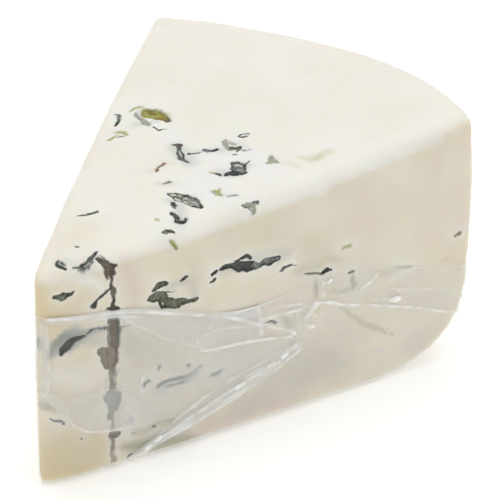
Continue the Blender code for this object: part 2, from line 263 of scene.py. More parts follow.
@dataclass(frozen=True)
class Mark:
    """A line on a face, as points of two measures and a width, or the outline of a patch."""

    path: tuple[tuple[float, ...], ...]
    face: Face = Face.FRONT
    patch: bool = False

    def curve(self, steps: int = 4) -> np.ndarray:
        """Draw the path as a smooth curve through its points.

        Args:
            steps: How many stretches lie between two points.

        Returns:
            The curve's points: two measures and a radius each.
        """
        knots = np.array([(first, second, *(rest or (0.0,))) for first, second, *rest in self.path])
        knots[:, 2] /= 2
        if self.patch:
            knots = np.vstack((knots[-1:], knots, knots[:2]))
        else:
            knots = np.vstack((knots[:1], knots, knots[-1:]))
        share = np.linspace(0.0, 1.0, steps, endpoint=False)[:, None]
        drawn = []
        for before, start, end, after in zip(knots, knots[1:], knots[2:], knots[3:]):
            bend = (end - before) / 2, (after - start) / 2
            rise = 3 * (end - start) - 2 * bend[0] - bend[1]
            drop = bend[0] + bend[1] - 2 * (end - start)
            drawn.append(start + bend[0] * share + rise * share**2 + drop * share**3)
        return np.vstack((*drawn, knots[-2][None]))

    def distances(self, chart: np.ndarray) -> np.ndarray:
        """Measure how far points lie outside the mark's edge.

        Args:
            chart: The points laid out on the mark's face.

        Returns:
            Distances in millimetres, negative inside the mark, and FAR well away from it.
        """
        curve = self.curve()
        beyond = 2.0 * np.maximum(np.abs(chart[:, 2]) - OFF_FACE, 0.0)
        low, high = curve.min(axis=0)[:2] - FAR, curve.max(axis=0)[:2] + FAR
        near = np.all((chart[:, :2] > low) & (chart[:, :2] < high), axis=1) & (beyond < FAR)
        close = chart[near, :2]
        best = np.full(len(close), FAR)
        inside = np.zeros(len(close), bool)
        for start, end in zip(curve, curve[1:]):
            run = (end - start)[:2]
            away = close - start[:2]
            share = np.clip(away @ run / max(run @ run, 1e-9), 0.0, 1.0)
            gap = np.hypot(*(away - share[:, None] * run).T)
            best = np.minimum(best, gap - start[2] - share * (end[2] - start[2]))
            if self.patch and run[1] != 0.0:
                between = (close[:, 1] < start[1]) != (close[:, 1] < end[1])
                inside ^= between & (away[:, 0] < away[:, 1] * run[0] / run[1])
        result = np.full(len(chart), FAR)
        result[near] = np.where(inside, -best, best) + beyond[near]
        return result


@dataclass(frozen=True)
class Colony(Mark):
    """One growth of mould in a crack of the curd, or a spot that shows over the growths before it."""

    tint: Tint = Tint.SLATE
    rim: float = 1.0
    crumbs: float = 0.35
    blur: float = 0.14
    pit: float = 0.3
    over: bool = False


@dataclass(frozen=True)
class Stain(Mark):
    """A soft patch of colour on the curd: mostly what grew near it, and in places a painted shadow that
    the film's folds cast.
    """

    tint: Tint = Tint.SMOKE
    strength: float = 0.5
    blur: float = 0.8


@dataclass(frozen=True)
class BleachAndHighlight(Mark):
    """A patch of curd painted a cold white: mostly where mould has bleached it, and in places a painted
    highlight.
    """

    strength: float = 0.8
    blur: float = 1.6


@dataclass(frozen=True)
class Pane(Mark):
    """A patch of film that is doubled, or has let go of the curd and looks milky."""

    haze: float = 0.3
    blur: float = 0.2
    lift: float = 0.0
    streaks: float = 0.0


@dataclass(frozen=True)
class Crease(Mark):
    """A line along which the film stands up a little and is painted white, partly stretched film and
    partly painted highlights and glints.
    """

    painted_shine: float = 0.5
    lift: float = 0.1


class Skin:
    """A fine mesh drawn off one of the frame's solids."""

    def __init__(self, name: str, solid: bpy.types.Object, cell: float, rounds: int, taut: bool) -> None:
        """Remesh a copy of a solid in even cells and smooth it.

        Args:
            name: The new object's name.
            solid: The frame's node.
            cell: The size of a cell in millimetres.
            rounds: How often the copy is smoothed.
            taut: True if the skin spans the solid's hollows.
        """
        draft = bpy.data.objects.new(name + "_draft", solid.data.copy())
        bpy.context.scene.collection.objects.link(draft)
        if taut:
            self.stretch(draft.data)
        remesh = draft.modifiers.new("cells", "REMESH")
        remesh.mode = "VOXEL"
        remesh.voxel_size = cell * MM
        smooth = draft.modifiers.new("smooth", "SMOOTH")
        smooth.factor = 0.5
        smooth.iterations = rounds
        depsgraph = bpy.context.evaluated_depsgraph_get()
        self.mesh = bpy.data.meshes.new_from_object(draft.evaluated_get(depsgraph))
        self.mesh.name = name
        self.mesh.materials.clear()
        bpy.data.objects.remove(draft)
        self.piece = bpy.data.objects.new(name, self.mesh)
        bpy.context.scene.collection.objects.link(self.piece)

    @staticmethod
    def stretch(mesh: bpy.types.Mesh) -> None:
        """Replace a mesh by its convex hull."""
        hull = bmesh.new()
        for vertex in mesh.vertices:
            hull.verts.new(vertex.co)
        bmesh.ops.remove_doubles(hull, verts=hull.verts, dist=0.02 * MM)
        made = bmesh.ops.convex_hull(hull, input=hull.verts)
        bmesh.ops.delete(hull, geom=made["geom_interior"], context="VERTS")
        hull.to_mesh(mesh)
        hull.free()

    def points(self) -> np.ndarray:
        """Give the skin's points in millimetres."""
        flat = np.zeros(len(self.mesh.vertices) * 3)
        self.mesh.vertices.foreach_get("co", flat)
        return flat.reshape(-1, 3) / MM

    def normals(self) -> np.ndarray:
        """Give the direction out of the skin at each of its points."""
        flat = np.zeros(len(self.mesh.vertices) * 3)
        self.mesh.vertices.foreach_get("normal", flat)
        return flat.reshape(-1, 3)

    def raise_by(self, heights: np.ndarray) -> None:
        """Move the skin's points out along its normals, by millimetres."""
        points = self.points() + self.normals() * heights[:, None]
        self.mesh.vertices.foreach_set("co", (points * MM).ravel())
        self.mesh.update()

    def store(self, name: str, values: np.ndarray) -> None:
        """Keep one number per point as an attribute that materials read.

        Args:
            name: The attribute's name.
            values: A number for each point.
        """
        layer = self.mesh.attributes.new(name, "FLOAT", "POINT")
        layer.data.foreach_set("value", values.astype(np.float32))

    def store_colour(self, name: str, values: np.ndarray) -> None:
        """Keep one linear colour per point as an attribute that materials read.

        Args:
            name: The attribute's name.
            values: Red, green, blue and alpha for each point.
        """
        layer = self.mesh.attributes.new(name, "FLOAT_COLOR", "POINT")
        layer.data.foreach_set("color", values.astype(np.float32).ravel())

    def refine(self, reach: Callable[[np.ndarray], np.ndarray], limits: Sequence[float]) -> None:
        """Split the cells that lie near a border, once for each limit.

        Args:
            reach: Gives each point's distance to the border in millimetres.
            limits: How near a point counts as near, round by round.
        """
        body = bmesh.new()
        body.from_mesh(self.mesh)
        for limit in limits:
            body.verts.index_update()
            points = np.array([vertex.co[:] for vertex in body.verts]) / MM
            near = reach(points) < limit
            edges = [edge for edge in body.edges if all(near[end.index] for end in edge.verts)]
            bmesh.ops.subdivide_edges(body, edges=edges, cuts=1, use_grid_fill=True)
            wide = [face for face in body.faces if len(face.verts) > 4]
            bmesh.ops.triangulate(body, faces=wide)
        body.to_mesh(self.mesh)
        body.free()

    def finish(self, material: bpy.types.Material, node: str, slot: str) -> None:
        """Dress the skin and hand it to the frame in place of its solid.

        Args:
            material: What the skin is made of.
            node: The frame's node that the skin stands for.
            slot: The record's material slot. Not used.
        """
        self.mesh.materials.append(material)
        self.mesh.shade_smooth()
        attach(self.piece, BODY)
        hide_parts(node)
        self.mesh.calc_loop_triangles()
        LOG.info("%s: %d triangles", node, len(self.mesh.loop_triangles))


@dataclass(frozen=True)
class GoatCheesePaste:
    """Moist pressed curd of goat's milk, sliced by a knife, with blue mould in its cracks.

    Goat's curd has no yellow of its own, so the eye sees an ivory white that light sinks into for
    a few millimetres. Near the tip it turns straw, partly from ripening and partly as a painted glow
    of light shining through the thin tip. Mould bleaches it to a cold white, and the same white is a
    painted highlight along the rounded shoulder. The cut faces are painted creamier and darker than
    the top, partly their own tint and partly painted shade. The mould is a dry felt: near black where
    it is dense along a crack's edge, grey green and speckled with curd further in.
    """

    cream: str = "#F4F1E9"
    ivory: str = "#F1EDE1"
    # Painted shade: the cut faces' colours are darker and creamier than the top's, partly their own tint
    # and partly the shade of the less lit sides.
    cut: str = "#E9E3D3"
    shaded_blush: str = "#E3DACB"
    # Bleached curd, and also the painted highlight along the rounded shoulder.
    bleached: str = "#F1F1EC"
    # Painted glow: the yellow near the tip is partly ripening and partly light shining through the thin
    # tip.
    ripe: str = "#DCCC9C"
    felt_edge: str = "#30342F"
    bloom: str = "#A3A69F"
    curd_crumb: str = "#D8DAD2"
    ior: float = 1.42
    roughness: float = 0.42
    mould_roughness: float = 0.8
    light_depth: float = 2.4
    light_spread: tuple[float, float, float] = (1.0, 0.75, 0.45)
    bump_strength: float = 0.35
    bump_depth: float = 0.06
    mottle_grain: float = 13.0
    curd_grain: float = 1.0
    ragged_grain: float = 0.9
    ragged_depth: float = 0.4
    bloom_grain: float = 1.7
    bloom_share: float = 0.7
    crumb_grain: float = 0.5

    def material(self) -> bpy.types.Material:
        """Build the paste's shader.

        Returns:
            The material.
        """
        paste = bpy.data.materials.new("goat_cheese_paste")
        paste.use_nodes = True
        paste.node_tree.nodes.clear()
        place = add_node(paste, "ShaderNodeTexCoord").outputs["Object"]
        felt, blur = (
            add_node(paste, "ShaderNodeAttribute", attribute_name=name).outputs["Fac"]
            for name in ("mould_distance", "mould_blur")
        )
        ragged, crumbs, curd = (
            add_node(
                paste,
                "ShaderNodeTexNoise",
                {"Vector": place, "Scale": per_metre(grain), "Detail": detail, "Roughness": roughness},
            )
            for grain, detail, roughness in (
                (self.ragged_grain, 3.0, 0.6),
                (self.crumb_grain, 3.0, 0.65),
                (self.curd_grain, 4.0, 0.6),
            )
        )
        swing = add_node(
            paste,
            "ShaderNodeMapRange",
            {"Value": ragged, "To Min": -self.ragged_depth, "To Max": self.ragged_depth},
        )
        edge = add_node(paste, "ShaderNodeMath", {0: felt, 1: swing}, operation="ADD")
        inner = add_node(paste, "ShaderNodeMath", {0: blur, 1: -1.0}, operation="MULTIPLY")
        cover = add_node(
            paste,
            "ShaderNodeMapRange",
            {"Value": edge, "From Min": blur, "From Max": inner},
            interpolation_type="SMOOTHSTEP",
        )
        base = self.curd_colour(paste, place)
        mould = self.mould_colour(paste, place, edge, crumbs)
        colour = add_node(
            paste, "ShaderNodeMix", {"Factor": cover, "A": base, "B": mould}, data_type="RGBA"
        )
        relief = add_node(paste, "ShaderNodeMix", {"Factor": cover, "A": curd, "B": crumbs})
        bump = add_node(
            paste,
            "ShaderNodeBump",
            {"Height": relief, "Strength": self.bump_strength, "Distance": self.bump_depth * MM},
        )
        roughness, scatter = (
            add_node(paste, "ShaderNodeMapRange", {"Value": cover, "To Min": bare, "To Max": mouldy})
            for bare, mouldy in ((self.roughness, self.mould_roughness), (1.0, 0.0))
        )
        surface = add_node(
            paste,
            "ShaderNodeBsdfPrincipled",
            {
                "Base Color": colour,
                "Roughness": roughness,
                "IOR": self.ior,
                "Normal": bump,
                "Subsurface Weight": scatter,
                "Subsurface Radius": self.light_spread,
                "Subsurface Scale": self.light_depth * MM,
            },
        )
        add_node(paste, "ShaderNodeOutputMaterial", {"Surface": surface})
        return paste

    def curd_colour(self, paste: bpy.types.Material, place: bpy.types.NodeSocket) -> bpy.types.Node:
        """Colour the curd: ivory on top; creamier and darker on the cuts, partly painted shade; yellower
        near the tip, partly a painted glow; stained in places; bleached in places, with a painted
        highlight along the shoulder.

        Args:
            paste: The material.
            place: Where in the slice the colour is asked for.

        Returns:
            The node that gives the colour.
        """
        cut, ripeness_and_glow, bleach_and_highlight = (
            add_node(paste, "ShaderNodeAttribute", attribute_name=name).outputs["Fac"]
            for name in ("shaded_cut_side", "ripeness_and_glow", "bleach_and_highlight")
        )
        stain = add_node(paste, "ShaderNodeAttribute", attribute_name="stain").outputs
        mottle = add_node(
            paste,
            "ShaderNodeTexNoise",
            {"Vector": place, "Scale": per_metre(self.mottle_grain), "Detail": 3.0, "Roughness": 0.55},
        )
        clouds = add_node(
            paste, "ShaderNodeMapRange", {"Value": mottle, "From Min": 0.35, "From Max": 0.65}
        )
        # The cut faces' mix is darker than the top's: partly the cuts' own creamier tint, partly painted
        # shade.
        top, side = (
            add_node(
                paste,
                "ShaderNodeMix",
                {"Factor": clouds, "A": linear(pale), "B": linear(warm)},
                data_type="RGBA",
            )
            for pale, warm in ((self.cream, self.ivory), (self.cut, self.shaded_blush))
        )
        colour = top
        # Painted light among these layers: the cut faces' colour carries painted shade, the ripe yellow a
        # painted glow, and the bleached white a painted highlight.
        for share, layer in (
            (cut, side),
            (ripeness_and_glow, linear(self.ripe)),
            (bleach_and_highlight, linear(self.bleached)),
            (stain["Alpha"], stain["Color"]),
        ):
            colour = add_node(
                paste, "ShaderNodeMix", {"Factor": share, "A": colour, "B": layer}, data_type="RGBA"
            )
        return colour

    def mould_colour(
        self,
        paste: bpy.types.Material,
        place: bpy.types.NodeSocket,
        edge: bpy.types.Node,
        crumbs: bpy.types.Node,
    ) -> bpy.types.Node:
        """Colour the mould: near black at its edge, in its own tint and powdered further in.

        Args:
            paste: The material.
            place: Where in the slice the colour is asked for.
            edge: The distance to the mould's edge.
            crumbs: The pattern of the curd crumbs.

        Returns:
            The node that gives the colour.
        """
        tint = add_node(paste, "ShaderNodeAttribute", attribute_name="mould_tint").outputs["Color"]
        rim, loose = (
            add_node(paste, "ShaderNodeAttribute", attribute_name=name).outputs["Fac"]
            for name in ("mould_rim", "mould_crumbs")
        )
        cloud = add_node(
            paste,
            "ShaderNodeTexNoise",
            {"Vector": place, "Scale": per_metre(self.bloom_grain), "Detail": 3.0, "Roughness": 0.6},
        )
        dense = add_node(
            paste,
            "ShaderNodeMapRange",
            {"Value": edge, "From Min": -0.2, "From Max": -0.75, "To Min": 0.85, "To Max": 0.0},
            interpolation_type="SMOOTHSTEP",
        )
        patchy, powder, speck, heart = (
            add_node(
                paste,
                "ShaderNodeMapRange",
                {"Value": source, "From Min": start, "From Max": end, "To Min": least, "To Max": most},
            )
            for source, start, end, least, most in (
                (cloud, 0.62, 0.38, 0.3, 1.1),
                (cloud, 0.48, 0.7, 0.0, 2.0 * self.bloom_share),
                (crumbs, 0.53, 0.62, 0.0, 1.0),
                (edge, -0.15, -0.5, 0.0, 1.0),
            )
        )
        dark = add_node(paste, "ShaderNodeMath", {0: dense, 1: rim}, operation="MULTIPLY")
        dark = add_node(
            paste, "ShaderNodeMath", {0: dark, 1: patchy}, operation="MULTIPLY", use_clamp=True
        )
        powder = add_node(paste, "ShaderNodeMath", {0: powder, 1: loose}, operation="MULTIPLY")
        powder = add_node(paste, "ShaderNodeMath", {0: powder, 1: self.bloom_share}, operation="MINIMUM")
        shown = add_node(paste, "ShaderNodeMath", {0: speck, 1: heart}, operation="MULTIPLY")
        shown = add_node(paste, "ShaderNodeMath", {0: shown, 1: loose}, operation="MULTIPLY")
        colour = tint
        for share, layer in ((dark, self.felt_edge), (powder, self.bloom), (shown, self.curd_crumb)):
            colour = add_node(
                paste,
                "ShaderNodeMix",
                {"Factor": share, "A": colour, "B": linear(layer)},
                data_type="RGBA",
            )
        return colour


@dataclass(frozen=True)
class ClearFilm:
    """Thin clear film, blown and wound on a roll, then stretched by hand round a moist cut.

    It clings, so most of it shows only as gloss. Where it is doubled or has let go of the curd it
    turns milky, and along its creases it is painted white: partly film stretched white, partly painted
    highlights and glints.
    """

    milk: str = "#E8E9E6"
    # White of stretched film, which also paints the highlights and glints along the creases.
    stretched: str = "#FFFFFF"
    roughness: float = 0.12
    milk_roughness: float = 0.35
    least_mirror: float = 0.04
    most_mirror: float = 0.4
    mirror_fall: float = 5.0
    mottle_grain: float = 6.0
    thinnest_milk: float = 0.87
    thickest_milk: float = 1.15
    wrinkle_grain: float = 1.6
    wrinkle_strength: float = 0.3
    wrinkle_depth: float = 0.05

    def material(self) -> bpy.types.Material:
        """Build the film's shader.

        Returns:
            The material.
        """
        film = bpy.data.materials.new("clear_film")
        film.use_nodes = True
        film.node_tree.nodes.clear()
        place = add_node(film, "ShaderNodeTexCoord").outputs["Object"]
        haze, crease = (
            add_node(film, "ShaderNodeAttribute", attribute_name=name).outputs["Fac"]
            for name in ("haze", "crease")
        )
        mottle = add_node(
            film,
            "ShaderNodeTexNoise",
            {"Vector": place, "Scale": per_metre(self.mottle_grain), "Detail": 4.0, "Roughness": 0.6},
        )
        uneven = add_node(
            film,
            "ShaderNodeMapRange",
            {
                "Value": mottle,
                "From Min": 0.3,
                "From Max": 0.7,
                "To Min": self.thinnest_milk,
                "To Max": self.thickest_milk,
            },
        )
        veil = add_node(film, "ShaderNodeMath", {0: haze, 1: uneven}, operation="MULTIPLY")
        # Painted highlights and glints: along the creases the film is painted the stretched white.
        milky = add_node(film, "ShaderNodeMath", {0: veil, 1: crease}, operation="ADD", use_clamp=True)
        share = add_node(
            film, "ShaderNodeMath", {0: crease, 1: milky}, operation="DIVIDE", use_clamp=True
        )
        colour = add_node(
            film,
            "ShaderNodeMix",
            {"Factor": share, "A": linear(self.milk), "B": linear(self.stretched)},
            data_type="RGBA",
        )
        wrinkles = add_node(
            film,
            "ShaderNodeTexNoise",
            {"Vector": place, "Scale": per_metre(self.wrinkle_grain), "Detail": 2.0},
        )
        bump = add_node(
            film,
            "ShaderNodeBump",
            {"Height": wrinkles, "Strength": self.wrinkle_strength, "Distance": self.wrinkle_depth * MM},
        )
        facing = add_node(film, "ShaderNodeLayerWeight", {"Blend": 0.5, "Normal": bump}).outputs["Facing"]
        steep = add_node(film, "ShaderNodeMath", {0: facing, 1: self.mirror_fall}, operation="POWER")
        mirror = add_node(
            film,
            "ShaderNodeMapRange",
            {"Value": steep, "To Min": self.least_mirror, "To Max": self.most_mirror},
        )
        clear = add_node(film, "ShaderNodeBsdfTransparent", {"Color": linear("#FFFFFF")})
        gloss = add_node(
            film,
            "ShaderNodeBsdfAnisotropic",
            {"Color": linear("#FFFFFF"), "Roughness": self.roughness, "Normal": bump},
        )
        sheet = add_node(film, "ShaderNodeMixShader", {0: mirror, 1: clear, 2: gloss})
        milk = add_node(
            film,
            "ShaderNodeBsdfPrincipled",
            {"Base Color": colour, "Roughness": self.milk_roughness, "IOR": 1.5, "Normal": bump},
        )
        surface = add_node(film, "ShaderNodeMixShader", {0: milky, 1: sheet, 2: milk})
        add_node(film, "ShaderNodeOutputMaterial", {"Surface": surface})
        return film


@dataclass(frozen=True)
class LightBoard:
    """Opal acrylic sheet, cast with a matte face and lit from behind.

    It is what keeps a studio's floor white right up to the slice, with hardly any shadow.
    """

    white: str = "#F4F4F2"
    dimmer: str = "#F2F2F1"
    glow: float = 0.34
    roughness: float = 0.9
    grain: float = 40.0

    def material(self) -> bpy.types.Material:
        """Build the board's shader.

        Returns:
            The material.
        """
        board = bpy.data.materials.new("opal_acrylic_board")
        board.use_nodes = True
        board.node_tree.nodes.clear()
        place = add_node(board, "ShaderNodeTexCoord").outputs["Object"]
        mottle = add_node(board, "ShaderNodeTexNoise", {"Vector": place, "Scale": per_metre(self.grain)})
        colour = add_node(
            board,
            "ShaderNodeMix",
            {"Factor": mottle, "A": linear(self.white), "B": linear(self.dimmer)},
            data_type="RGBA",
        )
        surface = add_node(
            board,
            "ShaderNodeBsdfPrincipled",
            {
                "Base Color": colour,
                "Roughness": self.roughness,
                "Specular IOR Level": 0.1,
                "Emission Color": linear(self.white),
                "Emission Strength": self.glow,
            },
        )
        add_node(board, "ShaderNodeOutputMaterial", {"Surface": surface})
        return board


def top_colonies() -> tuple[Colony, ...]:
    """Lay out the mould that the top shows, from the back cut across to the front one.

    Returns:
        The colonies.
    """
    grow = partial(Colony, face=Face.TOP)
    slate = partial(grow, tint=Tint.SLATE, crumbs=0.35)
    ink = partial(grow, tint=Tint.INK, crumbs=0.1)
    faint = partial(grow, tint=Tint.SLATE, rim=0.35, crumbs=0.1, blur=0.3, pit=0.15)
    leaf_patch = partial(grow, tint=Tint.MOSS, crumbs=0.9, pit=0.45, patch=True)
    moss = partial(grow, tint=Tint.MOSS, crumbs=0.35)
    olive = partial(grow, tint=Tint.OLIVE, rim=0.3, crumbs=0.15, blur=0.45, pit=0.45, patch=True)
    leaf = partial(grow, tint=Tint.LEAF, rim=0.15, crumbs=0.2, blur=0.35, pit=0.1)
    sage = partial(grow, tint=Tint.SAGE, rim=0.2, crumbs=0.3, blur=0.3, pit=0.15)
    sage_patch = partial(sage, patch=True)
    bark = partial(grow, tint=Tint.BARK, rim=0.6, crumbs=0.1)
    russet = partial(grow, tint=Tint.RUSSET, rim=0.35, crumbs=0.1, blur=0.25, pit=0.15)
    spot = partial(grow, tint=Tint.RUSSET, rim=0.0, crumbs=0.0, pit=0.5, over=True)
    cell = partial(grow, tint=Tint.CRUMB, rim=0.0, crumbs=0.0, pit=0.1, over=True)
    return (
        # The yellow and green lens by the back cut, with its brown spots, crack and pale tail
        olive((
            (-20.2, 62.4), (-19.3, 63.5), (-17.3, 64.1), (-15.5, 64.0), (-12.1, 61.7), (-12.3, 60.9),
            (-14.3, 61.0), (-17.1, 61.4), (-18.0, 60.9), (-19.4, 61.2),
        )),
        spot((
            (-18.3, 61.3, 0.3), (-16.6, 61.4, 0.5), (-14.6, 61.1, 0.7), (-12.4, 61.1, 0.9),
        ), tint=Tint.MOSS),
        spot(((-14.2, 62.9, 0.3), (-13.2, 62.2, 0.5), (-12.4, 61.4, 0.5)), tint=Tint.MOSS),
        spot(((-18.9, 62.7, 0.3), (-17.8, 63.1, 0.6), (-16.8, 63.1, 0.3))),
        spot(((-16.7, 62.1, 0.3), (-15.5, 62.6, 0.5), (-14.5, 62.0, 0.8), (-13.4, 61.7, 0.4))),
        spot(((-16.0, 61.7, 0.3), (-14.9, 61.5, 0.4))),
        leaf(((-21.9, 60.9, 0.5), (-21.5, 62.2, 0.6), (-20.3, 63.4, 0.4))),
        sage(((-20.6, 61.0, 0.5), (-18.7, 59.9, 1.1), (-17.0, 58.9, 1.5), (-14.9, 58.3, 1.0))),
        faint(((-20.2, 60.2, 0.4), (-18.2, 58.9, 0.5), (-16.0, 57.9, 0.4))),
        ink(((-13.6, 57.9, 0.4), (-12.7, 57.6, 0.4), (-11.8, 57.7, 0.4), (-10.9, 58.5, 0.2))),
        # Flecks at the back cut's edge
        faint(((-24.0, 58.2, 0.4), (-22.8, 58.5, 0.7), (-21.9, 57.2, 0.9))),
        slate(((-21.7, 56.8, 0.8), (-21.3, 55.4, 0.9), (-21.2, 54.6, 0.5))),
        leaf(((-19.2, 52.5, 0.7), (-18.2, 53.2, 1.0), (-16.6, 53.1, 0.8))),
        leaf(((-18.7, 49.6, 0.8), (-18.5, 50.8, 1.0), (-18.1, 51.8, 0.5))),
        faint(((-17.6, 51.4, 0.3), (-16.9, 52.3, 0.4))),
        # The slanting growth, the beads that run on from it and the pale one at their end
        bark(((-6.1, 54.4, 0.6), (-5.0, 54.7, 1.1), (-4.2, 54.7, 0.8))),
        slate(((-4.3, 54.4, 0.9), (-3.7, 53.5, 1.1), (-3.1, 52.5, 1.3))),
        slate(((-3.1, 52.3, 1.4), (-1.9, 51.6, 1.5), (-0.8, 50.9, 1.3), (1.2, 50.4, 0.4))),
        faint(((-3.9, 53.2, 0.5), (-2.3, 51.3, 0.6), (-1.2, 50.4, 0.4))),
        cell(((-3.3, 53.2, 0.2), (-2.8, 52.3, 0.3), (-1.9, 51.7, 0.2))),
        ink(((-0.8, 53.1, 0.8), (-0.2, 53.5, 0.6), (0.8, 54.7, 0.3))),
        slate(((0.6, 55.7, 0.6), (1.6, 55.8, 1.2), (2.3, 55.8, 0.5))),
        ink(((1.0, 55.3, 0.4), (1.8, 55.4, 0.5))),
        slate(((2.6, 56.2, 0.6), (3.1, 57.0, 0.9))),
        sage(((2.3, 60.1, 0.9), (3.7, 59.6, 1.3), (4.6, 58.6, 1.2))),
        sage(((2.4, 60.9, 0.5), (4.0, 60.6, 0.4), (5.0, 61.0, 0.5))),
        moss(((5.0, 58.4, 1.0), (5.6, 59.5, 1.9), (6.6, 59.4, 1.6), (7.0, 58.5, 0.8))),
        faint(((7.0, 57.0, 0.5), (7.6, 57.4, 0.4))),
        faint(((8.2, 59.4, 0.3), (8.9, 60.4, 0.3))),
        ink(((3.8, 63.4, 0.5), (3.8, 64.2, 0.5), (4.4, 64.4, 0.4), (5.2, 65.3, 0.4))),
        ink(((4.2, 63.2, 0.5), (5.0, 63.5, 0.4), (5.5, 64.3, 0.3))),
        # The round growth with its feeler and black lobe
        slate((
            (8.6, 54.1), (8.6, 55.2), (9.5, 56.0), (10.9, 55.7), (12.4, 54.5), (13.1, 53.0), (11.1, 52.4),
        ), rim=0.8, patch=True),
        cell(((9.3, 54.6, 0.3), (9.8, 55.2, 0.3), (10.6, 55.0, 0.2))),
        cell(((10.2, 53.9, 0.4), (11.4, 54.1, 0.4)), tint=Tint.SMOKE),
        ink(((9.6, 52.9, 0.8), (11.0, 52.3, 1.0), (12.4, 52.3, 1.2), (13.1, 53.1, 0.7)), over=True),
        ink(((10.2, 50.5, 1.2), (10.3, 51.4, 1.5), (11.6, 51.3, 1.5))),
        ink(((10.9, 55.6, 0.4), (11.3, 56.3, 0.3), (11.4, 57.2, 0.2))),
        leaf(((6.8, 49.5, 0.6), (7.7, 49.7, 0.8))),
        ink(((8.2, 49.8, 0.8), (8.9, 49.9, 0.9), (9.5, 49.7, 0.5))),
        # Brown fleck in its rosy patch
        russet(((-2.9, 44.8, 0.7), (-3.3, 46.0, 0.6), (-3.0, 47.6, 0.8))),
        faint(((1.3, 41.5, 0.5), (1.9, 42.9, 0.6))),
        # The largest dark leaf, with the knots below it
        leaf_patch((
            (4.1, 39.2), (4.3, 39.9), (6.0, 40.5), (8.1, 41.2), (9.6, 41.2), (11.7, 39.9), (12.6, 38.9),
            (11.0, 38.2), (8.2, 38.8), (5.6, 38.7),
        )),
        cell(((4.9, 39.5, 0.5), (5.4, 39.7, 0.4))),
        cell(((6.0, 40.0, 0.3), (6.8, 40.2, 0.4))),
        cell(((5.9, 39.1, 0.2), (6.6, 39.2, 0.4), (7.2, 39.3, 0.2))),
        cell(((7.5, 39.9, 0.3), (8.0, 40.4, 0.4), (8.6, 40.5, 0.2))),
        cell(((7.9, 39.2, 0.2), (8.6, 39.5, 0.3))),
        cell(((9.2, 40.1, 0.2), (9.9, 39.9, 0.3))),
        ink(((10.0, 38.7, 0.7), (11.6, 38.9, 0.9), (12.4, 38.8, 0.5)), over=True),
        ink(((6.4, 38.0, 0.4), (6.9, 37.2, 0.9), (7.8, 36.7, 1.0))),
        ink(((7.9, 36.2, 0.6), (8.4, 36.0, 0.5))),
        slate(((8.6, 34.4, 0.9), (9.4, 34.4, 1.1), (10.2, 34.2, 1.3), (10.5, 33.3, 0.9))),
        ink(((10.4, 33.3, 0.7), (11.2, 33.6, 1.1), (12.0, 34.0, 0.6), (11.8, 34.9, 0.6))),
        leaf(((7.2, 31.2, 0.5), (7.8, 31.5, 0.6))),
        moss(((10.6, 28.9, 0.5), (11.1, 29.7, 1.1), (12.1, 30.6, 0.5))),
        ink(((11.5, 29.2, 0.4), (11.1, 29.8, 0.6), (11.2, 30.6, 0.4))),
        # Leaf green fleck, the grey hook on the shoulder and the pale ones towards the side
        leaf(((11.1, 44.5, 0.5), (12.0, 44.5, 1.1), (12.6, 44.4, 1.3), (13.5, 44.3, 0.7))),
        leaf(((12.1, 45.6, 0.5), (12.4, 44.6, 0.8))),
        faint(((11.0, 44.1, 0.3), (11.8, 44.0, 0.4), (12.6, 43.8, 0.3))),
        faint(((14.8, 45.0, 0.3), (15.8, 46.3, 0.3))),
        sage_patch((
            (18.1, 44.4), (18.5, 45.8), (19.1, 46.5), (19.7, 47.7), (20.0, 46.6), (19.7, 45.4),
            (19.0, 44.7),
        ), rim=0.6),
        slate(((18.2, 44.4, 0.5), (18.9, 44.7, 0.5), (19.8, 45.3, 0.4))),
        slate(((19.2, 46.7, 0.4), (19.8, 47.7, 0.6), (20.1, 47.2, 0.5))),
        sage(((20.0, 46.2, 0.7), (20.4, 45.6, 1.1), (20.7, 44.9, 0.8), (20.4, 44.5, 0.5))),
        sage_patch(((14.7, 57.4), (14.4, 58.8), (13.6, 60.7), (14.6, 60.6), (17.0, 59.1), (15.8, 58.2))),
        # The thin streak and speck of the tip's half
        moss(((-6.6, 24.3, 0.5), (-5.0, 25.6, 0.9), (-4.3, 27.4, 0.5))),
        bark(((-0.3, 15.8, 0.5), (0.2, 16.1, 0.6))),
        # The hook and the crack that lead to the needle's hole
        ink(((-0.4, 10.3, 0.6), (0.0, 9.6, 0.9), (0.8, 9.3, 0.9), (2.0, 9.7, 0.5))),
        faint(((0.2, 10.4, 0.7), (1.1, 10.1, 0.6))),
        slate(((2.9, 11.0, 0.4), (3.5, 11.9, 0.8), (4.1, 13.2, 0.7), (4.1, 15.0, 0.9), (4.0, 16.7, 0.5))),
        faint(((3.6, 11.3, 0.4), (4.6, 12.8, 0.6), (4.8, 14.4, 0.5))),
        bark(((5.1, 15.5, 0.7), (6.2, 15.8, 1.1), (7.3, 16.8, 1.0))),
    )


